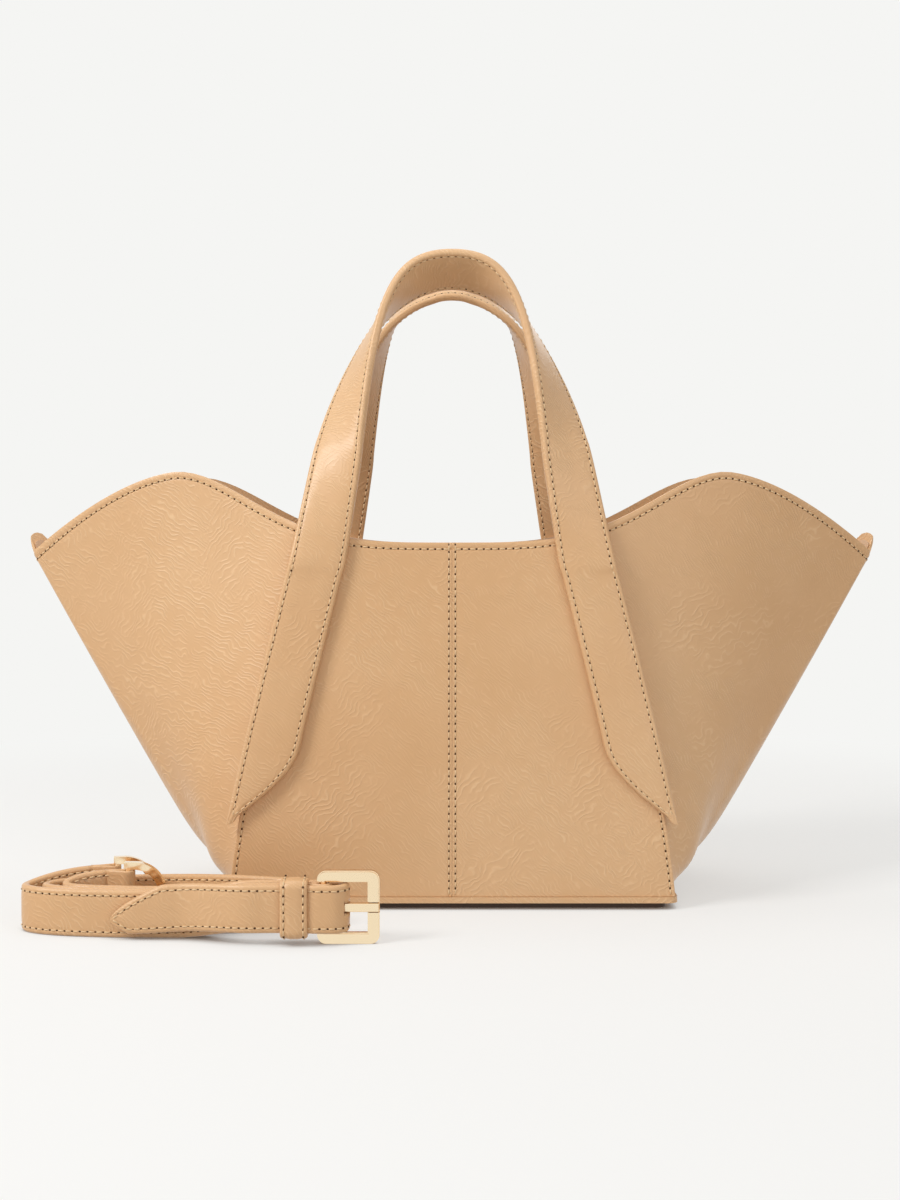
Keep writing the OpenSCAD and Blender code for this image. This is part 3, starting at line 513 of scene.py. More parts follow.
def stitchRows(name, rows):
    # rows: lists of (point, normal) pairs in millimetres
    points, edges, normals = [], [], []
    for row in rows:
        start = len(points)
        for point, normal in row:
            points.append([c * mm for c in point])
            normals.append(Vector(normal).normalized())
        edges += [(i, i + 1) for i in range(start, len(points) - 1)]
    mesh = bpy.data.meshes.new(name)
    mesh.from_pydata(points, edges, [])
    held = mesh.attributes.new("surfaceNormal", "FLOAT_VECTOR", "POINT")
    held.data.foreach_set("vector", [c for n in normals for c in n])
    guide = bpy.data.objects.new(name, mesh)
    bpy.context.scene.collection.objects.link(guide)
    modifier = guide.modifiers.new("stitches", "NODES")
    modifier.node_group = stitchTree
    for key, identifier in stitchSockets.items():
        modifier[identifier] = stitchLook[key] * mm
    return bake(guide)


# bag walls

# columns of a panel half: distances from the middle seam and from its edge, with even ones between
nearMm = [0.02, 0.7, 1.0, 1.35, 1.7, 2.2, 3.4]
farMm = [4.6, 3.2, 2.4, 1.9, 1.4, 0.7, 0]
panelColumns = [("near", d) for d in nearMm] + [("share", i / 22) for i in range(1, 22)]
panelColumns += [("far", d) for d in farMm]
# rows of a wall: even ones from the foot up, then distances below the rim
evenRows = 44
rowsBelow = [7.0, 4.6, 3.6, 3.15, 2.8, 2.45, 1.6, 0.8, 0]
rowCount = evenRows + len(rowsBelow)


def columnX(column, z, edge):
    kind, value = column
    if kind == "near":
        return value
    if kind == "far":
        return seamX(z) - edge - value
    return mix(nearMm[-1], seamX(z) - edge - farMm[0], value)


def wallRows(top, slope):
    # heights from the foot to the rim; a sloping rim spreads the rows below it
    below = [d * math.hypot(1, slope) for d in rowsBelow]
    span = top - below[0] - bag["wallZ"]
    even = [bag["wallZ"] + span * (i / evenRows) ** 1.25 for i in range(evenRows)]
    return even + [top - d for d in below]


# the stitch rows' distances from the rim, from the side seam and from the middle seam
rimRow, seamRow, middleRow = 2.8, 1.9, 1.35
sunkMm = 0.12

# how far the leather sinks (+) or swells (-) at the rows and columns beside the stitches
rimRelief = {45: -0.03, 46: -0.05, 47: 0.12, 48: 0.36, 49: 0.12, 50: -0.14, 51: -0.06, 52: 0.22}
seamRelief = {("near", 0.7): -0.04, ("near", 1.0): 0.08, ("near", 1.35): 0.32, ("near", 1.7): 0.08,
              ("far", 2.4): 0.05, ("far", 1.9): 0.32, ("far", 1.4): 0.06, ("far", 0.7): -0.08, ("far", 0): 0.12}


def rimSlope(x):
    return rimAt(x + 0.5) - rimAt(x - 0.5)


def panelGrid(h, grooves, edge=0.0):
    # the right half of the front, h behind its face; the last columns keep to the slanting seam
    grid = []
    for r in range(rowCount):
        row = []
        for column in panelColumns:
            x = columnX(column, bag["rimH"], edge)
            for _ in range(3):
                z = wallRows(rimAt(x), rimSlope(x))[r]
                x = columnX(column, z, edge)
            dip = 0
            if grooves:
                dip = max(rimRelief.get(r, 0), seamRelief.get(column, 0), key=abs)
            row.append((x, -faceY(z) - bellyAt(x, z) + h + dip, z))
        grid.append(row)
    return grid


outerFace, innerFace = panelGrid(0, True), panelGrid(bag["leather"], False)
# rounding of the cut edges, in millimetres
leatherEase, liningEase = 0.4, 0.15
for side, sx in (("right", 1), ("left", -1)):
    for face, sy in (("front", 1), ("back", -1)):
        piece = sheetPiece(f"{face}Panel{side.title()}", mirrored(outerFace, sx, sy), mirrored(innerFace, sx, sy),
                           [calf, suede, edgePaint], leatherEase)
        place(piece, "root", "leather", f"{face}_panel_{side}")
print("panels done")


def sideColumns(flatCount, arcCount):
    # closer together towards the fold and round it
    flat = [bag["flatShare"] * (1 - (1 - i / flatCount) ** 1.4) for i in range(flatCount)]
    arc = [bag["flatShare"] + (1 - bag["flatShare"]) * i / arcCount for i in range(arcCount)]
    half = flat + arc
    return half + [1.0] + [2 - q for q in reversed(half)]


def sideSlope(q):
    # the rim's rise per millimetre along the leather
    a, b = max(0, q - 0.01), min(2, q + 0.01)
    za, zb = rimHeight(a), rimHeight(b)
    (xa, ya), (xb, yb) = sidePoint(a, za), sidePoint(b, zb)
    return (zb - za) / max(0.1, math.hypot(xb - xa, yb - ya))


def sideGrid(h, columns, grooves=False, below=0):
    tops = [(rimHeight(q) - below, sideSlope(q)) for q in columns]
    grid = []
    for r in range(rowCount):
        row = []
        for q, (top, slope) in zip(columns, tops):
            z = wallRows(top, slope)[r]
            x, y = sideInset(q, z, h + (rimRelief.get(r, 0) if grooves else 0))
            row.append((x, y, z))
        grid.append(row)
    return grid


def gussetGrid(h, columns, grooves=False):
    # the laps run in under the panels at both ends
    out = []
    for row in sideGrid(h, columns, grooves):
        x0, y0, z0 = row[0]
        lapX = seamX(z0) - bag["lap"]
        y = faceY(z0) + bellyAt(lapX, z0) - h
        z = min(z0, rimAt(lapX))
        out.append([(lapX, -y, z)] + row + [(lapX, y, z)])
    return out


gussetColumns = sideColumns(40, 20)
outerSide = gussetGrid(bag["leather"] + bag["glue"], gussetColumns, True)
innerSide = gussetGrid(2 * bag["leather"] + bag["glue"], gussetColumns)
liningOut = sideGrid(liningH, gussetColumns, below=bag["liningBelow"])
liningIn = sideGrid(liningH + bag["lining"], gussetColumns, below=bag["liningBelow"])
for side, sx in (("right", 1), ("left", -1)):
    piece = sheetPiece(f"sideGusset{side.title()}", mirrored(outerSide, sx), mirrored(innerSide, sx),
                       [calf, calf, edgePaint], leatherEase)
    place(piece, "root", "leather", f"side_gusset_{side}")
    piece = sheetPiece(f"sideLining{side.title()}", mirrored(liningOut, sx), mirrored(liningIn, sx),
                       [suede] * 3, liningEase)
    place(piece, "root", "lining", f"side_lining_{side}")
print("gussets done")

# the front and back linings stop short of the side linings
edgeIn = liningH + bag["lining"] + 0.6
halfOut, halfIn = panelGrid(liningH, False, edgeIn), panelGrid(liningH + bag["lining"], False, edgeIn)


def wholeFace(grid):
    # a lining runs across the middle seam in one piece
    return [[(-p[0], p[1], p[2]) for p in reversed(row)] + row for row in grid]


for face, sy in (("front", 1), ("back", -1)):
    piece = sheetPiece(f"{face}Lining", mirrored(wholeFace(halfOut), 1, sy), mirrored(wholeFace(halfIn), 1, sy),
                       [suede] * 3, liningEase)
    place(piece, "root", "lining", f"{face}_lining")


# stitches of the body

def faceNormal(z):
    slope = (faceY(z + 1) - faceY(z - 1)) / 2
    return (0, -1, -slope)


def facePoint(x, z, sx, sy):
    # a point on the front or back face with its normal
    n = faceNormal(z)
    return (x * sx, (-faceY(z) - bellyAt(x, z) + sunkMm) * sy, z), (n[0], n[1] * sy, n[2])


def bodyRows():
    rows = []
    for sy in (1, -1):
        for sx in (1, -1):
            rim = []
            for i in range(60):
                x = mix(2.5, bag["panelTopHalf"] - 1.0, i / 59)
                rim.append(facePoint(x, rimAt(x) - rimRow * math.hypot(1, rimSlope(x)), sx, sy))
            rows.append(rim)
            heights = [mix(bag["wallZ"] + 2, bag["rimH"] - 2.4, i / 69) for i in range(70)]
            rows.append([facePoint(middleRow, z, sx, sy) for z in heights])
            heights = [mix(bag["wallZ"] + 2, bag["rimH"] - 5.0, i / 69) for i in range(70)]
            rows.append([facePoint(seamX(z) - seamRow, z, sx, sy) for z in heights])
    h = bag["leather"] + bag["glue"]
    for sx in (1, -1):
        row = []
        for i in range(241):
            q = 0.012 + 1.976 * i / 240
            z = rimHeight(q) - rimRow * math.hypot(1, sideSlope(q))
            x, y = sideInset(q, z, h + sunkMm)
            inX, inY = sideInset(q, z, h - 1)
            row.append(((x * sx, y, z), ((inX - x) * sx, inY - y, 0)))
        rows.append(row)
    return rows


place(stitchRows("bodyStitches", bodyRows()), "root", "leather")
print("body stitches done")


# straps: a soft edged strip swept along stations

def stripSection(width, thick, corner=1.25, groove=0.2, rowAt=2.1, pad=0.25):
    # (across, out) pairs round a strip, from the inner edge over the good side and back underneath
    scale = min(1.0, width / 9)
    half = thick / 2
    top = []
    for i in range(5):
        a = math.pi / 2 * i / 4
        top.append((corner * (1 - math.cos(a)) * scale, half - corner + corner * math.sin(a)))
    for s, dip in ((rowAt - 0.45, 0.0), (rowAt, groove), (rowAt + 0.5, 0.03), (rowAt + 1.6, -pad * 0.6)):
        top.append((s * scale, half - dip * scale))
    middle = (rowAt + 1.6) * scale
    for i in range(1, 6):
        s = mix(middle, width - middle, i / 6)
        top.append((s, half + pad * scale))
    top += [(width - s, d) for s, d in reversed(top[:9])]
    return top + [(s, -d) for s, d in reversed(top)]


def sweepStrip(name, stations, thick, materials, **shape):
    # stations: (inner edge, outer edge, good side direction) in millimetres
    points, faces = [], []
    for a, b, n in stations:
        a, b, n = Vector(a), Vector(b), Vector(n).normalized()
        width = (b - a).length
        w = (b - a) / max(width, 1e-6)
        for s, d in stripSection(width, thick, **shape):
            points.append(tuple(a + w * s + n * d))
    m = len(stripSection(20, thick, **shape))
    for i in range(len(stations) - 1):
        for j in range(m):
            k = (j + 1) % m
            faces.append((i * m + j, (i + 1) * m + j, (i + 1) * m + k, i * m + k))
    faces.append(tuple(range(m)))
    last = (len(stations) - 1) * m  # the end caps close the strip
    faces.append(tuple(last + j for j in range(m - 1, -1, -1)))
    return meshObject(name, points, faces, materials)


def stationNormals(pairs, flip=1):
    # the strip's good side faces away from the turn of its two edges
    out = []
    for i, (a, b) in enumerate(pairs):
        a0, b0 = pairs[max(0, i - 1)]
        a1, b1 = pairs[min(len(pairs) - 1, i + 1)]
        along = (Vector(a1) + Vector(b1)) - (Vector(a0) + Vector(b0))
        n = (Vector(b) - Vector(a)).cross(along) * flip
        out.append((a, b, tuple(n.normalized())))
    return out


def edgeRows(stations, thick, inset, trim=1.2, sides=(1, -1), skip=0):
    # two stitch rows on each side, the same distance in from both edges
    rows = []
    for side in sides:
        for which in (0, 1):
            row = []
            for a, b, n in stations:
                a, b, n = Vector(a), Vector(b), Vector(n)
                width = (b - a).length
                if width < 2 * inset + trim:
                    continue
                w = (b - a) / width
                base = a + w * inset if which == 0 else b - w * inset
                row.append((tuple(base + n * side * (thick / 2 - sunkMm)), tuple(n * side)))
            rows.append(row[skip:len(row) - skip] if skip else row)
    return rows


# handles

handle = {
    "width": 23, "thick": 3.4, "foot": 41, "rise": 125.5, "lean": 19.6, "turn": 126, "tipH": 36, "tipLen": 33,
    "cover": 1.6, "tipRound": 1.8, "tipSpread": 3.2, "swingRise": 7.5, "gap": 0.3, "bendFrom": 151, "bendTo": 172,
    "leanCurve": 1.6, "turnCurve": 1.85, "rowAt": 2.1, "plump": 0.1,
}
swingZ = bag["rimH"] + handle["swingRise"]
swingY = -faceY(swingZ) - handle["gap"] - handle["thick"] / 2
topZ = bag["rimH"] + handle["rise"]
tabTop = swingZ - handle["thick"] / 2 - 0.4
footSlope = (seamX(swingZ - 10) - seamX(swingZ)) / 10
arch = [(handle["foot"], swingZ), (handle["foot"] * 0.8, mix(swingZ, topZ, 0.75)), (handle["foot"] * 0.79, topZ),
        (0, topZ)]


def legPair(z):
    # the sewn leg runs beside the side seam, down to its blunt tip
    spread = handle["tipSpread"] * max(0, (tabTop - z) / (tabTop - handle["tipH"])) ** 2
    outer = seamX(z) + handle["cover"] + spread
    t = min(1, max(0, (z - handle["tipH"]) / handle["tipLen"]))
    blunt = 0.02 + 0.12 * math.sqrt(min(1, max(0, z - handle["tipH"]) / handle["tipRound"]))
    inner = outer - handle["width"] * math.hypot(1, footSlope) * max(blunt, math.sin(math.pi / 2 * t))
    out = []
    for x in (inner, outer):
        out.append((x, -faceY(z) - bellyAt(x, z) - handle["gap"] - handle["thick"] / 2, z))
    return tuple(out)


def archPair(t):
    # one half of the loop on a cubic curve, the strip turning from the leg's plane to the crown's
    s = 1 - t
    weights = (s ** 3, 3 * s * s * t, 3 * s * t * t, t ** 3)
    x, z = (sum(w * p[i] for w, p in zip(weights, arch)) for i in (0, 1))
    steps = (s * s, 2 * s * t, t * t)
    dx, dz = (sum(w * (q[i] - p[i]) for w, p, q in zip(steps, arch, arch[1:])) for i in (0, 1))
    dx *= smooth(t / 0.12)
    size = math.hypot(dx, dz)
    dx, dz = dx / size, dz / size
    a = math.radians(handle["turn"] * (1 - s ** handle["turnCurve"] * smooth((0.9 - t) / 0.45)))
    y = swingY + handle["lean"] * (max(0, z - swingZ) / (topZ - swingZ)) ** handle["leanCurve"]
    w = (math.cos(a) * dz, math.sin(a), -math.cos(a) * dx)
    return (x, y, z), (x + w[0] * handle["width"], y + w[1] * handle["width"], z + w[2] * handle["width"])


def smoothThrough(pairs, perSpan):
    # Catmull-Rom through the stations' two edges
    out = []
    n = len(pairs)
    for i in range(n - 1):
        four = [pairs[max(0, i - 1)], pairs[i], pairs[i + 1], pairs[min(n - 1, i + 2)]]
        for k in range(perSpan):
            t = k / perSpan
            both = []
            for e in (0, 1):
                p0, p1, p2, p3 = (Vector(p[e]) for p in four)
                both.append(tuple(0.5 * (2 * p1 + (p2 - p0) * t + (2 * p0 - 5 * p1 + 4 * p2 - p3) * t * t
                                         + (3 * p1 - p0 - 3 * p2 + p3) * t ** 3)))
            out.append(tuple(both))
    out.append(pairs[-1])
    return out


def handlePairs():
    # both edges of the whole handle, from the right tip to the left one
    tip = [handle["tipH"] + handle["tipLen"] * (i / 12) ** 1.6 for i in range(13)]
    leg = [legPair(z) for z in tip + [75, 82, 92, 105, 118, 130, 140, 149]]
    loop = [archPair(i / 20) for i in range(2, 21)]
    half = leg + loop
    whole = half + [tuple((-p[0], p[1], p[2]) for p in pair) for pair in reversed(half[:-1])]
    return smoothThrough(whole, 4)


for face, sy in (("front", 1), ("back", -1)):
    pairs = [tuple((p[0], p[1] * sy, p[2]) for p in pair) for pair in handlePairs()]
    stations = stationNormals(pairs, sy)
    thick = handle["thick"] + handle["plump"]
    strip = sweepStrip(f"{face}Handle", stations, thick, [calf], rowAt=handle["rowAt"])
    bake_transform(strip)
    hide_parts(f"{face}_handle_loop", f"{face}_handle_tab_left", f"{face}_handle_tab_right")
    sewn = stitchRows(f"{face}HandleStitches", edgeRows(stations, thick, handle["rowAt"]))
    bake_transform(sewn)
print("handles done")


# shoulder strap, standing on its edge in a long coil

strap = {
    "width": 18.5, "thick": 3.2, "a": 62, "b": 20, "cx": -108, "cy": -89.5, "endPitch": 6.5, "sidePitch": 3.75,
    "bow": 0.0012, "barX": -49.6, "buckleY": -119, "frameH": 28.3, "tailLen": 83, "barR": 1.5, "ply": 1.6,
    "longEnd": 583, "shortEnd": 233, "longAim": -3, "shortAim": 10, "eyeZ": 12.6,
}
# where the coil's front run has straightened out, and the buckle's place on it
straightX = strap["barX"] - 26
buckleLift = (strap["frameH"] - strap["width"]) / 2
bendR = strap["barR"] + 0.2 + strap["ply"] + 0.4 + strap["thick"] / 2
bendX = strap["barX"] + 3.3
tailX = strap["barX"] - strap["tailLen"]
endLift = strap["eyeZ"] - strap["width"] / 2


def coilPoint(a, k):
    # the coil seen from above: angle and layer, counted inwards
    a = math.radians(a)
    dx = (strap["a"] - strap["endPitch"] * k) * math.cos(a)
    dy = (strap["b"] - strap["sidePitch"] * k) * math.sin(a)
    return strap["cx"] + dx, strap["cy"] - strap["bow"] * dx * dx - dy


def nearY(x, k, dy):
    # the front run leaves the coil for the buckle
    share = smooth((x - strap["cx"]) / (straightX - strap["cx"]))
    return mix(coilPoint(90, k)[1], strap["buckleY"] + dy, share)


def runLift(x):
    # the buckle stands taller than the strap and lifts it
    return mix(0, buckleLift, smooth((x - strap["cx"]) / (straightX - strap["cx"])))


def tailY(x):
    # the pointed tail lies on the front of the run
    if x > strap["cx"]:
        y = nearY(x, 0, 0)
    else:
        y = coilPoint(math.degrees(math.acos((x - strap["cx"]) / strap["a"])), 0)[1]
    shift = mix(-strap["thick"] - 0.5, -bendR + 0.1, smooth((x - strap["barX"] + 8.5) / 7))
    return y + shift - 0.4 * smooth((straightX + 4 - x) / 8)


def longLayer(a):
    # the long part's layer at an angle; it stays clear of the other end's fold
    out = 0.95 + 1.13 * (a - 90) / 360 + 0.5 * (smooth((a - 200) / 60) - smooth((a - 300) / 60))
    return out + 0.55 * smooth((a - 520) / 60)


def longPath():
    # (x, y, lower edge, upper edge): pointed tail, round the bar, back along the run, into the coil
    path = []
    for i in range(61):
        u = (i / 60) ** 1.6
        x = mix(tailX, bendX, u)
        lift = mix(2.2, buckleLift, smooth((x - tailX) / (straightX - tailX)))
        low = lift + 5 * max(0, 1 - ((x - tailX) / 7) ** 0.8)
        high = lift + 5.6 + (strap["width"] - 5.6) * min(1, (x - tailX) / 20) ** 0.6
        path.append((x, tailY(x), low, high))
    for i in range(1, 16):
        a = math.radians(-90 + 180 * i / 16)
        path.append((bendX + bendR * math.cos(a), strap["buckleY"] + 0.1 + bendR * math.sin(a),
                     buckleLift, buckleLift + strap["width"]))
    for i in range(33):
        x = mix(bendX, strap["cx"] + 1, i / 32)
        path.append((x, nearY(x, longLayer(90), bendR + 0.1), runLift(x), runLift(x) + strap["width"]))
    for i in range(126):
        a = 90 + 4 * i
        if a > strap["longEnd"]:
            break
        x, y = coilPoint(a, longLayer(a))
        z = mix(0, endLift, smooth((a - strap["longEnd"] + 70) / 70))
        path.append((x, y, z, z + strap["width"]))
    return path


def shortPath():
    # from the buckle's fold back into the outer turn of the coil
    path = []
    for i in range(33):
        x = mix(strap["barX"] - 5, strap["cx"] + 1, i / 32)
        path.append((x, nearY(x, 0, 0), runLift(x), runLift(x) + strap["width"]))
    for i in range(60):
        a = 90 + 3 * i
        if a > strap["shortEnd"]:
            break
        x, y = coilPoint(a, 0)
        z = mix(0, endLift, smooth((a - strap["shortEnd"] + 50) / 50))
        path.append((x, y, z, z + strap["width"]))
    return path


def pathStations(path):
    pairs = [((x, y, low), (x, y, high)) for x, y, low, high in path]
    return stationNormals(pairs)


def foldWrap(name, ox, oy, oz, aim, reach):
    # the strap's end folded round a bar, its two plies lying together behind it
    r = strap["barR"] + 0.2 + strap["ply"] / 2
    c, s = math.cos(math.radians(aim)), math.sin(math.radians(aim))
    plan = [(-reach, -strap["ply"] / 2), (-reach * 0.6, -strap["ply"] / 2 - 0.15)]
    plan += [(r * math.cos(math.radians(a)), r * math.sin(math.radians(a))) for a in range(-115, 116, 10)]
    plan += [(-reach * 0.6, strap["ply"] / 2 + 0.15), (-reach, strap["ply"] / 2)]
    low, high = oz - strap["width"] / 2, oz + strap["width"] / 2
    path = [(ox + c * x - s * y, oy + s * x + c * y, low, high) for x, y in plan]
    stations = pathStations(path)
    return sweepStrip(name, stations, strap["ply"], [calf], corner=0.7, groove=0.0, pad=0.0)


def endBar(path, aim):
    # the hook's eye stands a little past the strap's end
    x, y = path[-1][:2]
    c, s = math.cos(math.radians(aim)), math.sin(math.radians(aim))
    return x + 8 * c, y + 8 * s


longStations, shortStations = pathStations(longPath()), pathStations(shortPath())
strapShape = {"rowAt": 2.1, "pad": 0.12, "groove": 0.2, "corner": 1.3}
slotHalf = 2.3
longStrap = sweepStrip("longStrap", longStations, strap["thick"], [calf], **strapShape)
shortStrap = sweepStrip("shortStrap", shortStations, strap["thick"], [calf], **strapShape)
longEye, shortEye = endBar(longPath(), strap["longAim"]), endBar(shortPath(), strap["shortAim"])
wraps = [
    foldWrap("longStrapFold", *longEye, strap["eyeZ"], strap["longAim"], 9),
    foldWrap("shortStrapFold", *shortEye, strap["eyeZ"], strap["shortAim"], 9),
    foldWrap("buckleFold", strap["barX"], strap["buckleY"], strap["frameH"] / 2, 0, 8),
]


def cutBox(thing, low, high):
    # a slot cut through the strap for the prong
    x0, y0, z0 = low
    x1, y1, z1 = high
    corners = [(x, y, z) for x in (x0, x1) for y in (y0, y1) for z in (z0, z1)]
    faces = [(0, 1, 3, 2), (4, 6, 7, 5), (0, 4, 5, 1), (2, 3, 7, 6), (0, 2, 6, 4), (1, 5, 7, 3)]
    cutter = meshObject("slotCutter", corners, faces, [calf])
    modifier = thing.modifiers.new("slot", "BOOLEAN")
    modifier.operation = "DIFFERENCE"
    modifier.object = cutter
    modifier.solver = "EXACT"
    bake(thing)
    bpy.data.objects.remove(cutter)
    return thing


prongZ = strap["frameH"] / 2
cutBox(longStrap, (bendX + 1, strap["buckleY"] - 4.8, prongZ - slotHalf),
       (bendX + 9, strap["buckleY"] + 0.4, prongZ + slotHalf))
cutBox(wraps[2], (strap["barX"] - 3.4, strap["buckleY"] - 6, prongZ - slotHalf),
       (strap["barX"] + 6.6, strap["buckleY"] + 6, prongZ + slotHalf))
place(longStrap, "strap", "leather", "strap_long")
place(shortStrap, "strap", "leather", "strap_short")
for wrap in wraps:
    place(wrap, "strap", "leather")
strapRows = edgeRows(longStations, strap["thick"], strapShape["rowAt"])
strapRows += edgeRows(shortStations, strap["thick"], strapShape["rowAt"])
place(stitchRows("strapStitches", strapRows), "strap", "leather")
print("strap done")


# metal parts: the model's own solids with their edges eased

def easedCopy(node, name, material, widthMm, segments=2, angle=30):
    # flat faces are merged first, so that only true edges are eased
    mesh = frame["nodes"][node].data.copy()
    mesh.name = name
    bm = bmesh.new()
    bm.from_mesh(mesh)
    bmesh.ops.remove_doubles(bm, verts=bm.verts, dist=1e-6)
    bmesh.ops.dissolve_limit(bm, angle_limit=math.radians(1.0), verts=bm.verts, edges=bm.edges)
    bm.to_mesh(mesh)
    bm.free()
    mesh.materials.clear()
    mesh.materials.append(material)
    for polygon in mesh.polygons:
        polygon.material_index = 0
        polygon.use_smooth = True
    thing = bpy.data.objects.new(name, mesh)
    bpy.context.scene.collection.objects.link(thing)
    return soften(thing, widthMm, segments, angle)


bodyOf = {n: b for b, nodes in frame["record"]["behaviour"]["bodies"].items() for n in nodes}
easing = {"buckle_frame": ("buckleFrame", 0.75), "buckle_prong": ("buckleProng", 0.5)}
for end in ("long", "short"):
    easing[f"hook_eye_{end}"] = (f"hookEye{end.title()}", 0.5)
    easing[f"hook_body_{end}"] = (f"hookBody{end.title()}", 0.6)
    easing[f"hook_gate_{end}"] = (f"hookGate{end.title()}", 0.3)
for node, (name, width) in easing.items():
    piece = easedCopy(node, name, gold, width, 3)
    if node.startswith("buckle"):
        # painted reflection: the rounded edges take a deeper gold, for the darker surroundings they reflect
        piece.data.materials.append(edgeReflectionGold)
        for polygon in piece.data.polygons:
            polygon.material_index = int(abs(polygon.normal.y) < 0.9)
    place(piece, bodyOf[node], "gold", node)


# keeper and base

# the keeper is a folded leather loop, plump between its two rows of stitches
keeper = {"thick": 2.0, "corner": 2.2, "rowAt": 1.5, "edge": 0.9, "pad": 0.3, "turns": 40, "stepMm": 1.5}


def keeperStations():
    # round the model's keeper in the plane across the strap
    low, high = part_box("strap_keeper")
    x0, y0, z0 = (c / mm for c in low)
    x1, y1, z1 = (c / mm for c in high)
    half = keeper["thick"] / 2
    cy, cz, hy, hz = (y0 + y1) / 2, (z0 + z1) / 2, (y1 - y0) / 2 - half, (z1 - z0) / 2 - half
    r = keeper["corner"]
    plan = []
    for i in range(keeper["turns"] + 1):
        a = 2 * math.pi * i / keeper["turns"] + math.pi / 4
        # points run evenly round each corner, and the sides join them
        c, s = math.cos(a), math.sin(a)
        corner = math.floor((a + 1e-6) / (math.pi / 2)) % 4
        sy, sz = ((1, 1), (-1, 1), (-1, -1), (1, -1))[corner]
        plan.append((cy + sy * (hy - r) + r * c, cz + sz * (hz - r) + r * s))
    full = []
    for (ya, za), (yb, zb) in zip(plan, plan[1:]):
        steps = max(1, round(math.hypot(yb - ya, zb - za) / keeper["stepMm"]))
        full += [(mix(ya, yb, k / steps), mix(za, zb, k / steps)) for k in range(steps)]
    full.append(full[0])
    stations = []
    for i, (y, z) in enumerate(full):
        ya, za = full[i - 1 if i else -2]
        yb, zb = full[i + 1 if i + 1 < len(full) else 1]
        out = Vector((0, zb - za, ya - yb)).normalized()
        stations.append(((x0, y, z), (x1, y, z), tuple(out)))
    return stations


keeperLoop = keeperStations()
piece = sweepStrip("keeper", keeperLoop, keeper["thick"], [calf], corner=keeper["edge"], rowAt=keeper["rowAt"],
                   pad=keeper["pad"])
place(piece, bodyOf["strap_keeper"], "leather", "strap_keeper")
piece = stitchRows("keeperStitches", edgeRows(keeperLoop, keeper["thick"], keeper["rowAt"], sides=(1,)))
place(piece, bodyOf["strap_keeper"], "leather")

# painted shade: the base leather's side faces take a near black colour for the shadow under the welt
base = easedCopy("base_panel", "basePanel", calf, 0.3)
base.data.materials.append(baseEdgeShade)
for polygon in base.data.polygons:
    polygon.material_index = 1 if abs(polygon.normal.z) < 0.5 else 0
place(base, "root", "sole", "base_panel")

# pieces shown as the model has them
plainFinish = {
    "base_welt": calf, "base_board": greyBoard, "base_lining": suede, "front_board": greyBoard,
    "back_board": greyBoard, "slip_pocket": suede, "ring_tab_left": calf, "ring_tab_right": calf,
    "ring_left": gold, "ring_right": gold, "hook_pin_long": gold, "hook_pin_short": gold,
}
for node, material in plainFinish.items():
    mesh = frame["nodes"][node].data
    mesh.materials.clear()
    mesh.materials.append(material)
print("keeper, base and plain pieces done")


# floor, light and camera

paper = {"seen": "#F5F5F3", "albedo": "#EDECEA", "bounce": "#CFCAC4", "near": 0.34, "far": 0.62, "even": 0.58,
         # the last two: reach and brown of the painted contact shadow
         "contactMm": 9, "contactShadow": "#5A4636"}


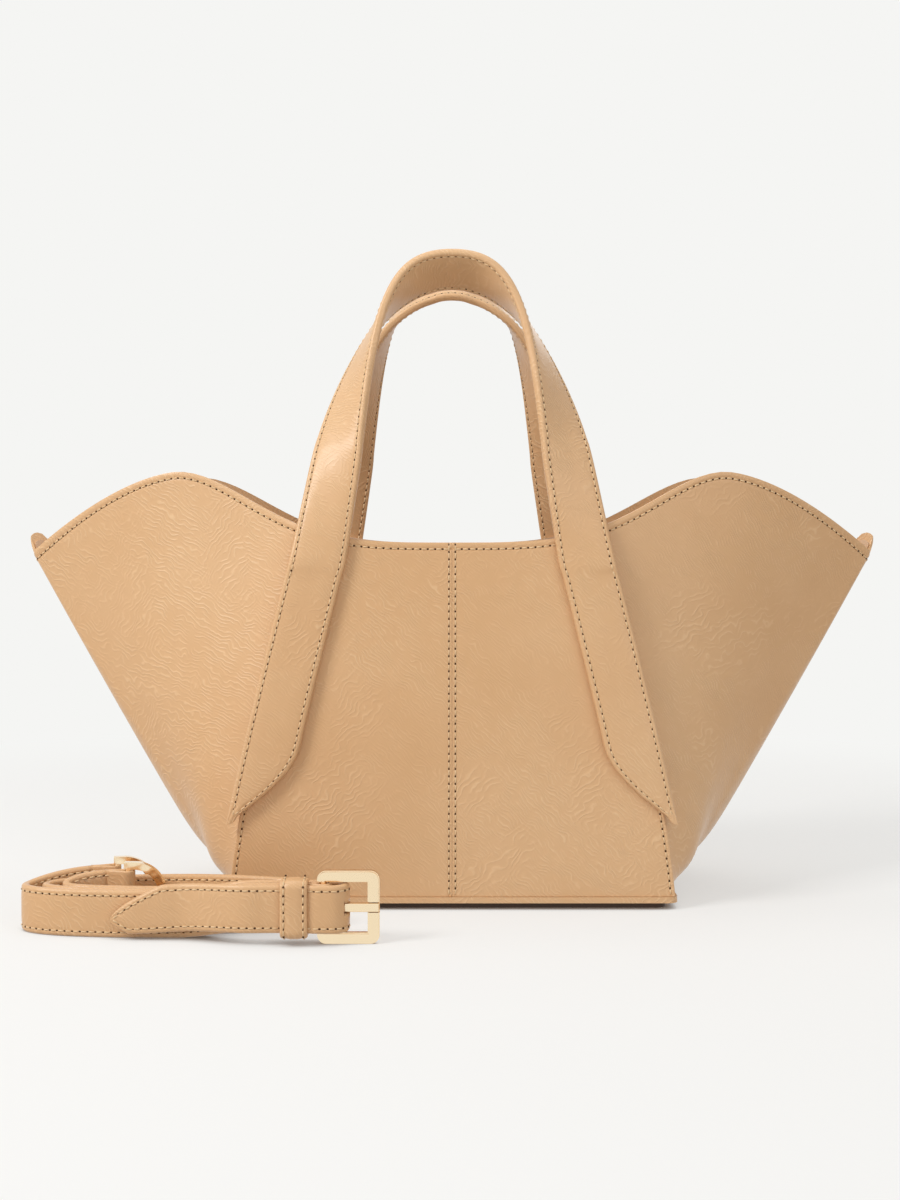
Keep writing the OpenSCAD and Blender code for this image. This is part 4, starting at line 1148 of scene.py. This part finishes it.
def makeFloor():
    # seamless white paper: near the bag it takes the shadows, further off the eye sees its even colour
    material, tree, shader = newMaterial("whitePaper")
    out = next(n for n in tree.nodes if n.type == "OUTPUT_MATERIAL")
    tree.nodes.remove(shader)
    place = addNode(tree, "ShaderNodeTexCoord").outputs["Object"]
    flat = addNode(tree, "ShaderNodeVectorMath", {0: place, 1: (1, 1, 1.5)}, operation="MULTIPLY")
    reach = addNode(tree, "ShaderNodeVectorMath", {0: flat.outputs[0]}, operation="LENGTH")
    away = addNode(tree, "ShaderNodeMapRange", {"Value": reach.outputs["Value"], "From Min": paper["near"],
                                                "From Max": paper["far"], "To Min": paper["even"]},
                   interpolation_type="SMOOTHSTEP")
    lit = addNode(tree, "ShaderNodeBsdfDiffuse", {"Color": srgb(paper["albedo"])})
    # painted contact shadow: where things stand on the paper, the colour the camera sees darkens to brown by
    # ambient occlusion
    contactShade = addNode(tree, "ShaderNodeAmbientOcclusion", {"Distance": paper["contactMm"] * mm}, samples=8)
    deep = addNode(tree, "ShaderNodeMapRange", {"Value": contactShade.outputs["AO"], "From Min": 0.1, "From Max": 0.62})
    shadowedPaperColour = addNode(tree, "ShaderNodeMix", {"Factor": deep.outputs[0], 6: srgb(paper["contactShadow"]),
                                           7: srgb(paper["seen"])}, data_type="RGBA")
    plain = addNode(tree, "ShaderNodeEmission", {"Color": shadowedPaperColour.outputs[2]})
    seen = addNode(tree, "ShaderNodeMixShader", {0: away.outputs[0], 1: lit.outputs[0], 2: plain.outputs[0]})
    ray = addNode(tree, "ShaderNodeLightPath")
    dull = addNode(tree, "ShaderNodeBsdfDiffuse", {"Color": srgb(paper["bounce"])})
    shown = addNode(tree, "ShaderNodeEmission", {"Color": srgb(paper["seen"])})
    bounce = addNode(tree, "ShaderNodeMixShader", {0: ray.outputs["Is Glossy Ray"], 1: dull.outputs[0],
                                                   2: shown.outputs[0]})
    both = addNode(tree, "ShaderNodeMixShader", {0: ray.outputs["Is Camera Ray"], 1: bounce.outputs[0],
                                                 2: seen.outputs[0]})
    tree.links.new(both.outputs[0], out.inputs[0])
    points, faces = [], []
    profile = [(-3.0, 0), (0.9, 0)]
    for a in range(6, 91, 6):
        profile.append((0.9 + 1.2 * math.sin(math.radians(a)), 1.2 - 1.2 * math.cos(math.radians(a))))
    profile += [(2.1, 4.0)]
    for y, z in profile:
        points += [(-5000, y * 1000, z * 1000), (5000, y * 1000, z * 1000)]
    for i in range(len(profile) - 1):
        faces.append((2 * i, 2 * i + 1, 2 * i + 3, 2 * i + 2))
    floor = meshObject("paperFloor", points, faces, [material], outward=False)


makeFloor()

studio = {"world": 0.52, "shineWorld": 1.05}
# softboxes: place, aim, size in metres, and power
lamps = {
    "keySoftbox": ((-1.1, -0.75, 1.15), (0, 0, 0.12), (0.55, 0.55), 16.5),
    "fillSoftbox": ((1.0, -1.5, 0.8), (0, 0, 0.12), (1.2, 1.2), 5.2),
    "backSoftbox": ((0.5, 1.7, 0.75), (0, 0, 0.12), (1.2, 1.2), 4.0),
    "topSoftbox": ((0, 0.35, 1.7), (0, 0, 0.1), (1.4, 1.0), 6.5),
}
for name, (spot, aim, size, power) in lamps.items():
    lamp = bpy.data.lights.new(name, "AREA")
    lamp.shape = "RECTANGLE"
    lamp.size, lamp.size_y = size
    lamp.energy = power
    thing = bpy.data.objects.new(name, lamp)
    thing.location = spot
    thing.rotation_euler = (Vector(aim) - Vector(spot)).to_track_quat("-Z", "Y").to_euler()
    bpy.context.scene.collection.objects.link(thing)

world = bpy.data.worlds.new("studioWorld")
world.use_nodes = True
bpy.context.scene.world = world
worldTree = world.node_tree
worldTree.nodes.clear()
# polished parts see a brighter studio than the soft light that falls on the leather
rays = addNode(worldTree, "ShaderNodeLightPath")
level = addNode(worldTree, "ShaderNodeMix", {"Factor": rays.outputs["Is Glossy Ray"], 2: studio["world"],
                                      3: studio["shineWorld"]})
sky = addNode(worldTree, "ShaderNodeBackground", {"Color": srgb("#FFFFFF"), "Strength": level.outputs[0]})
backdrop = addNode(worldTree, "ShaderNodeBackground", {"Color": srgb(paper["seen"])})
behind = addNode(worldTree, "ShaderNodeMixShader", {0: rays.outputs["Is Camera Ray"], 1: sky.outputs[0],
                                             2: backdrop.outputs[0]})
worldTree.links.new(behind.outputs[0], addNode(worldTree, "ShaderNodeOutputWorld").inputs[0])

# the camera's focal length and frame width in pixels, its place in metres, its tilt in degrees
lens = {"pixels": 1680, "frameWidth": 900, "distance": 0.760, "height": 0.15375, "pitch": 1.94, "aside": -0.0009}
camera = bpy.data.cameras.new("photoCamera")
camera.sensor_fit = "HORIZONTAL"
camera.sensor_width = 36
camera.lens = 36 * lens["pixels"] / lens["frameWidth"]
camera.clip_start = 0.01
eye = bpy.data.objects.new("photoCamera", camera)
eye.location = (lens["aside"], -lens["distance"], lens["height"])
eye.rotation_euler = (math.radians(90 - lens["pitch"]), 0, 0)
bpy.context.scene.collection.objects.link(eye)
bpy.context.scene.camera = eye
bpy.context.scene.view_settings.view_transform = "Standard"
print("stage done")
